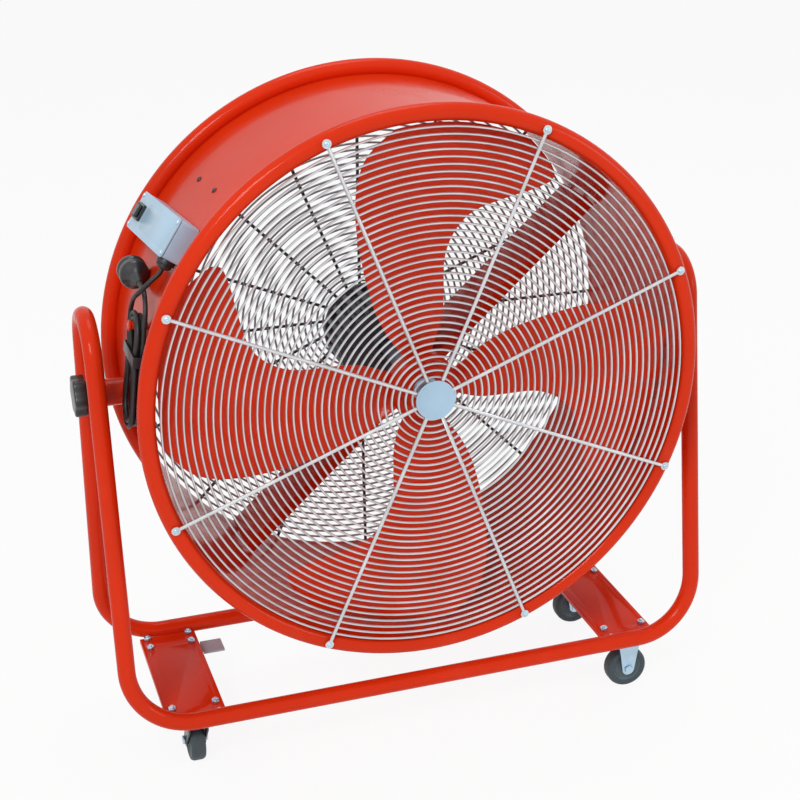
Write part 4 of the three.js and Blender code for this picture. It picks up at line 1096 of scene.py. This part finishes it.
class DRUMFAN_OT_frame(bpy.types.Operator):
    """Builds the bent tubes, the pivot brackets and their welds"""
    bl_idname = "drum_fan.frame"
    bl_label = "Tube frame"

    def execute(self, context):
        for side, node in ((-1, "frame_front"), (1, "frame_rear")):
            route = [point * MM for point in frame_route(side)]
            tube = swept(route, sizes().frame_tube, 24)
            piece(f"{node}_bent", tube, "paint", "base", node, soft_angle=60)
        self.add_arch_welds()
        for side in ("left", "right"):
            dressed(f"pivot_bracket_{side}", "paint", 0.8 * MM, 2)
            self.add_boss(side)
            self.add_knob(side)
        return {"FINISHED"}

    def add_arch_welds(self):
        """The butt weld at the top of each side arch, ground nearly flush."""
        beads = [ring_bead(Vector((side * FRAME_HALF_WIDTH, 0, ARCH_HEIGHT)) * MM,
                           Vector((0, 1, 0)), sizes().frame_tube - 0.7 * MM, 0.9 * MM)
                 for side in (-1, 1)]
        piece("arch_welds", joined(*beads), "paint", "base")

    def add_boss(self, side):
        node = f"pivot_boss_{side}"
        low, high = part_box(node)
        radius = (high.z - low.z) / 2
        length = high.x - low.x
        shape = [(8.6 * MM, 0), (radius, 0), (radius, 4 * MM), (radius - 2 * MM, 6 * MM),
                 (radius - 2 * MM, length - 3 * MM), (radius - 4 * MM, length), (8.6 * MM, length)]
        boss = spun(rounded(shape, 1.2 * MM, 3), 72, closed=True)
        piece(f"{node}_turned", moved(boss, beside_drum(side, node)), "paint", "drum", node)
        node = f"pivot_washer_{side}"
        low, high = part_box(node)
        ring = [(8.6 * MM, low.x), (19 * MM, low.x), (19 * MM, high.x), (8.6 * MM, high.x)]
        washer = spun(rounded(ring, 0.8 * MM, 3, closed=True), 64, closed=True)
        place = Matrix.Translation((0, 0, AXIS_HEIGHT)) @ turn(-90, "Z")
        piece(f"{node}_cut", moved(washer, place), "black", "drum", node)

    def add_knob(self, side):
        """A star knob with rounded lobes, a cap in its middle and its threaded stud."""
        node = f"tilt_knob_{side}"
        low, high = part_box(node)
        length = high.x - low.x
        lobes, steps = 6, 96
        head = bmesh.new()
        bmesh.ops.create_circle(head, cap_ends=True, segments=steps, radius=1)
        for corner in head.verts:
            angle = math.atan2(corner.co.y, corner.co.x)
            radius = (29 - 4 * (1 - math.cos(lobes * angle)) / 2) * MM
            corner.co = Vector((radius * math.cos(angle), 5 * MM, radius * math.sin(angle)))
        grown = bmesh.ops.extrude_face_region(head, geom=head.faces[:])
        tips = [item for item in grown["geom"] if isinstance(item, bmesh.types.BMVert)]
        bmesh.ops.translate(head, verts=tips, vec=(0, length - 5 * MM, 0))
        bmesh.ops.recalc_face_normals(head, faces=head.faces)
        softened(head, 3 * MM, 4, 60)
        hub = disc(15 * MM, 0, 7 * MM, 64, 0.6 * MM)
        cap = disc(12 * MM, length - 1 * MM, length - 0.1 * MM, 48, 0.4 * MM)
        place = beside_drum(side, node)
        piece(f"{node}_moulded", moved(joined(head, hub), place), "black", f"knob_{side}", node)
        piece(f"{node}_cap", moved(cap, place), "core", f"knob_{side}")
        dressed(f"tilt_stud_{side}", "steel", 0.5 * MM, 2, 60)


# ------------------------------------------------------------------ castors

WHEEL_RADIUS = 32.5
WHEEL_HALF_WIDTH = 11


class DRUMFAN_OT_castors(bpy.types.Operator):
    """Builds the castor plates, forks, wheels and the brake pedal"""
    bl_idname = "drum_fan.castors"
    bl_label = "Castors"

    def execute(self, context):
        for side in ("left", "right"):
            dressed(f"castor_plate_{side}", "paint", 0.9 * MM, 2)
        for name in ("castor_front_left", "castor_rear_left"):
            dressed(f"{name}_plate", "steel", 0.5 * MM, 2)
            dressed(f"{name}_fork", "fork", 0.6 * MM, 2, 40)
        for name in ("castor_front_right", "castor_rear_right"):
            dressed(f"{name}_bracket", "steel", 0.5 * MM, 2)
        for name in ("castor_front_left", "castor_rear_left",
                     "castor_front_right", "castor_rear_right"):
            self.add_wheel(name)
        dressed("castor_rear_left_pedal", "pedal", 0.9 * MM, 3, 40)
        dressed("castor_rear_left_pedal_pin", "steel", 0.4 * MM, 2, 40)
        return {"FINISHED"}

    def add_wheel(self, name):
        low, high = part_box(f"{name}_wheel")
        centre = (low + high) / 2
        across = "X" if high.x - low.x < high.y - low.y else "Y"
        turned = turn(-90, "Z") if across == "X" else Matrix.Identity(4)
        half, radius = WHEEL_HALF_WIDTH * MM, WHEEL_RADIUS * MM
        place = Matrix.Translation((centre.x, centre.y, radius)) @ turned
        tread = mirrored([
            (22 * MM, -half + 1.2 * MM), (27 * MM, -half), (radius - 2.2 * MM, -half + 0.4 * MM),
            (radius, -half + 4.5 * MM),
        ])
        tyre = spun(rounded(tread, 1.8 * MM, 3, closed=True), 96, closed=True)
        core = mirrored([
            (4.6 * MM, -half), (8.5 * MM, -half), (9.5 * MM, -half + 3.5 * MM),
            (19 * MM, -half + 4 * MM), (21.5 * MM, -half + 1.4 * MM), (22.6 * MM, -half + 1.6 * MM),
        ])
        middle = spun(rounded(core, 0.7 * MM, 2, closed=True), 72, closed=True)
        body = BODY_OF[f"{name}_wheel"]
        piece(f"{name}_tyre", moved(tyre, place), "tyre", body, f"{name}_wheel")
        piece(f"{name}_core", moved(middle, place), "core", body)
        self.add_axle(name, place)

    def add_axle(self, name, place):
        """A hex bolt through the fork with its nut."""
        node = f"{name}_axle"
        reach = 15 * MM
        bolt = joined(
            disc(4 * MM, -reach - 0.5 * MM, reach + 0.5 * MM, 32, 0.3 * MM),
            prism(6, 7 * MM, -reach - 3.5 * MM, -reach, 0.6 * MM),
            prism(6, 7 * MM, reach, reach + 3.5 * MM, 0.6 * MM),
        )
        piece(f"{node}_bolt", moved(bolt, place), "steel", BODY_OF[node], node)


# ------------------------------------------------------------------ stage

CAMERA_PLACE = Vector((-0.6636, -2.0692, 1.4041))
CAMERA_YAW = 0.3133                    # to the right of straight ahead, radians
CAMERA_PITCH = 0.3974                  # downwards
CAMERA_ROLL = -0.0107
FOCAL_PIXELS = 1611
PHOTO_PIXELS = 800
SENSOR = 36.0
AIM = Vector((0, 0, 0.5))              # what the lamps point at
# name, place, width in metres, power in watts
LAMPS = [
    ("key_softbox", (-2.2, -3.0, 3.4), 1.4, 98),
    ("fill_softbox", (3.2, -2.4, 1.8), 1.4, 26),
    ("top_softbox", (0.3, 0.8, 4.2), 1.8, 38),
]
WORLD_GLOW = 0.36                      # how much the world lights the object
FLOOR_WHITE = 0.91                     # share of plain white in the floor that the camera sees


def camera_turn():
    """The camera's axes as columns: right, up, backwards."""
    ahead = Vector((math.sin(CAMERA_YAW) * math.cos(CAMERA_PITCH),
                    math.cos(CAMERA_YAW) * math.cos(CAMERA_PITCH), -math.sin(CAMERA_PITCH)))
    right = Vector((math.cos(CAMERA_YAW), -math.sin(CAMERA_YAW), 0))
    up = right.cross(ahead)
    rolled_right = right * math.cos(CAMERA_ROLL) + up * math.sin(CAMERA_ROLL)
    rolled_up = up * math.cos(CAMERA_ROLL) - right * math.sin(CAMERA_ROLL)
    return Matrix((rolled_right, rolled_up, -ahead)).transposed().to_4x4()


class DRUMFAN_OT_stage(bpy.types.Operator):
    """Sets up the camera, the pale floor and the soft studio light"""
    bl_idname = "drum_fan.stage"
    bl_label = "Stage"

    def execute(self, context):
        self.add_camera(context.scene)
        self.add_floor()
        self.add_world(context.scene)
        for name, place, width, power in LAMPS:
            self.add_lamp(name, place, width, power)
        context.scene.view_settings.view_transform = "Standard"
        return {"FINISHED"}

    def add_camera(self, scene):
        lens = bpy.data.cameras.new("photo_camera")
        lens.sensor_width = SENSOR
        lens.lens = FOCAL_PIXELS / PHOTO_PIXELS * SENSOR
        camera = new_object("photo_camera", lens)
        camera.matrix_world = Matrix.Translation(CAMERA_PLACE) @ camera_turn()
        scene.camera = camera

    def add_floor(self):
        ground = bmesh.new()
        bmesh.ops.create_grid(ground, x_segments=1, y_segments=1, size=60)
        mesh = bpy.data.meshes.new("floor")
        ground.to_mesh(mesh)
        ground.free()
        floor = new_object("floor", mesh)
        mesh.materials.append(self.floor_material())

    def floor_material(self):
        """White to the camera and in reflections, with the object's shadow on it."""
        shader = Shader("pale_floor")
        shader.finish(Base_Color=(0.92, 0.92, 0.92), Roughness=0.85)
        path = shader.make("ShaderNodeLightPath")
        seen = Socket(shader, path.outputs["Is Camera Ray"])
        mirrored = Socket(shader, path.outputs["Is Glossy Ray"])
        white = shader.make("ShaderNodeEmission")
        mixer = shader.make("ShaderNodeMixShader")
        shader.feed(mixer.inputs[0], (seen + mirrored) * FLOOR_WHITE)
        shader.tree.links.new(shader.surface.outputs[0], mixer.inputs[1])
        shader.tree.links.new(white.outputs[0], mixer.inputs[2])
        out = shader.tree.nodes["Material Output"]
        shader.tree.links.new(mixer.outputs[0], out.inputs["Surface"])
        return shader.material

    def add_world(self, scene):
        """Even light on the object, and plain white behind it and in its reflections."""
        world = bpy.data.worlds.new("studio")
        world.use_nodes = True
        tree = world.node_tree
        glow = tree.nodes["Background"]
        glow.inputs["Color"].default_value = (1, 1, 1, 1)
        glow.inputs["Strength"].default_value = WORLD_GLOW
        white = tree.nodes.new("ShaderNodeBackground")
        white.inputs["Color"].default_value = (1, 1, 1, 1)
        path = tree.nodes.new("ShaderNodeLightPath")
        mixer = tree.nodes.new("ShaderNodeMixShader")
        seen = path.outputs["Is Camera Ray"]
        for kind in ("Is Glossy Ray", "Is Transmission Ray"):
            either = tree.nodes.new("ShaderNodeMath")
            either.operation = "MAXIMUM"
            tree.links.new(seen, either.inputs[0])
            tree.links.new(path.outputs[kind], either.inputs[1])
            seen = either.outputs[0]
        tree.links.new(seen, mixer.inputs["Fac"])
        tree.links.new(glow.outputs[0], mixer.inputs[1])
        tree.links.new(white.outputs[0], mixer.inputs[2])
        tree.links.new(mixer.outputs[0], tree.nodes["World Output"].inputs["Surface"])
        scene.world = world

    def add_lamp(self, name, place, width, power):
        data = bpy.data.lights.new(name, "AREA")
        data.shape = "SQUARE"
        data.size = width
        data.energy = power
        lamp = new_object(name, data)
        aim = AIM - Vector(place)
        lamp.matrix_world = (Matrix.Translation(place)
                             @ aim.to_track_quat("-Z", "Y").to_matrix().to_4x4())


# ------------------------------------------------------------------ panel and running

STEPS = [
    DRUMFAN_OT_stage, DRUMFAN_OT_cord, DRUMFAN_OT_drum, DRUMFAN_OT_grilles,
    DRUMFAN_OT_impeller, DRUMFAN_OT_motor, DRUMFAN_OT_control_box, DRUMFAN_OT_frame,
    DRUMFAN_OT_castors,
]


class DRUMFAN_PT_panel(bpy.types.Panel):
    """Lists the sizes, the colours and the building steps"""
    bl_idname = "DRUMFAN_PT_panel"
    bl_label = "Drum Fan"
    bl_space_type = "VIEW_3D"
    bl_region_type = "UI"
    bl_category = "Drum Fan"

    def draw(self, context):
        for group in (sizes(), colours()):
            box = self.layout.box()
            for name in group.bl_rna.properties.keys():
                if name not in ("rna_type", "name"):
                    box.prop(group, name)
        for step in STEPS:
            self.layout.operator(step.bl_idname)


CLASSES = [DrumFanSizes, DrumFanColours, *STEPS, DRUMFAN_PT_panel]


def register():
    for kind in CLASSES:
        bpy.utils.register_class(kind)
    bpy.types.Scene.drum_fan_sizes = PointerProperty(type=DrumFanSizes)
    bpy.types.Scene.drum_fan_colours = PointerProperty(type=DrumFanColours)


def unregister():
    del bpy.types.Scene.drum_fan_colours
    del bpy.types.Scene.drum_fan_sizes
    for kind in reversed(CLASSES):
        bpy.utils.unregister_class(kind)


def main():
    register()
    for step in STEPS:
        group, name = step.bl_idname.split(".")
        getattr(getattr(bpy.ops, group), name)()


if __name__ == "__main__":
    main()
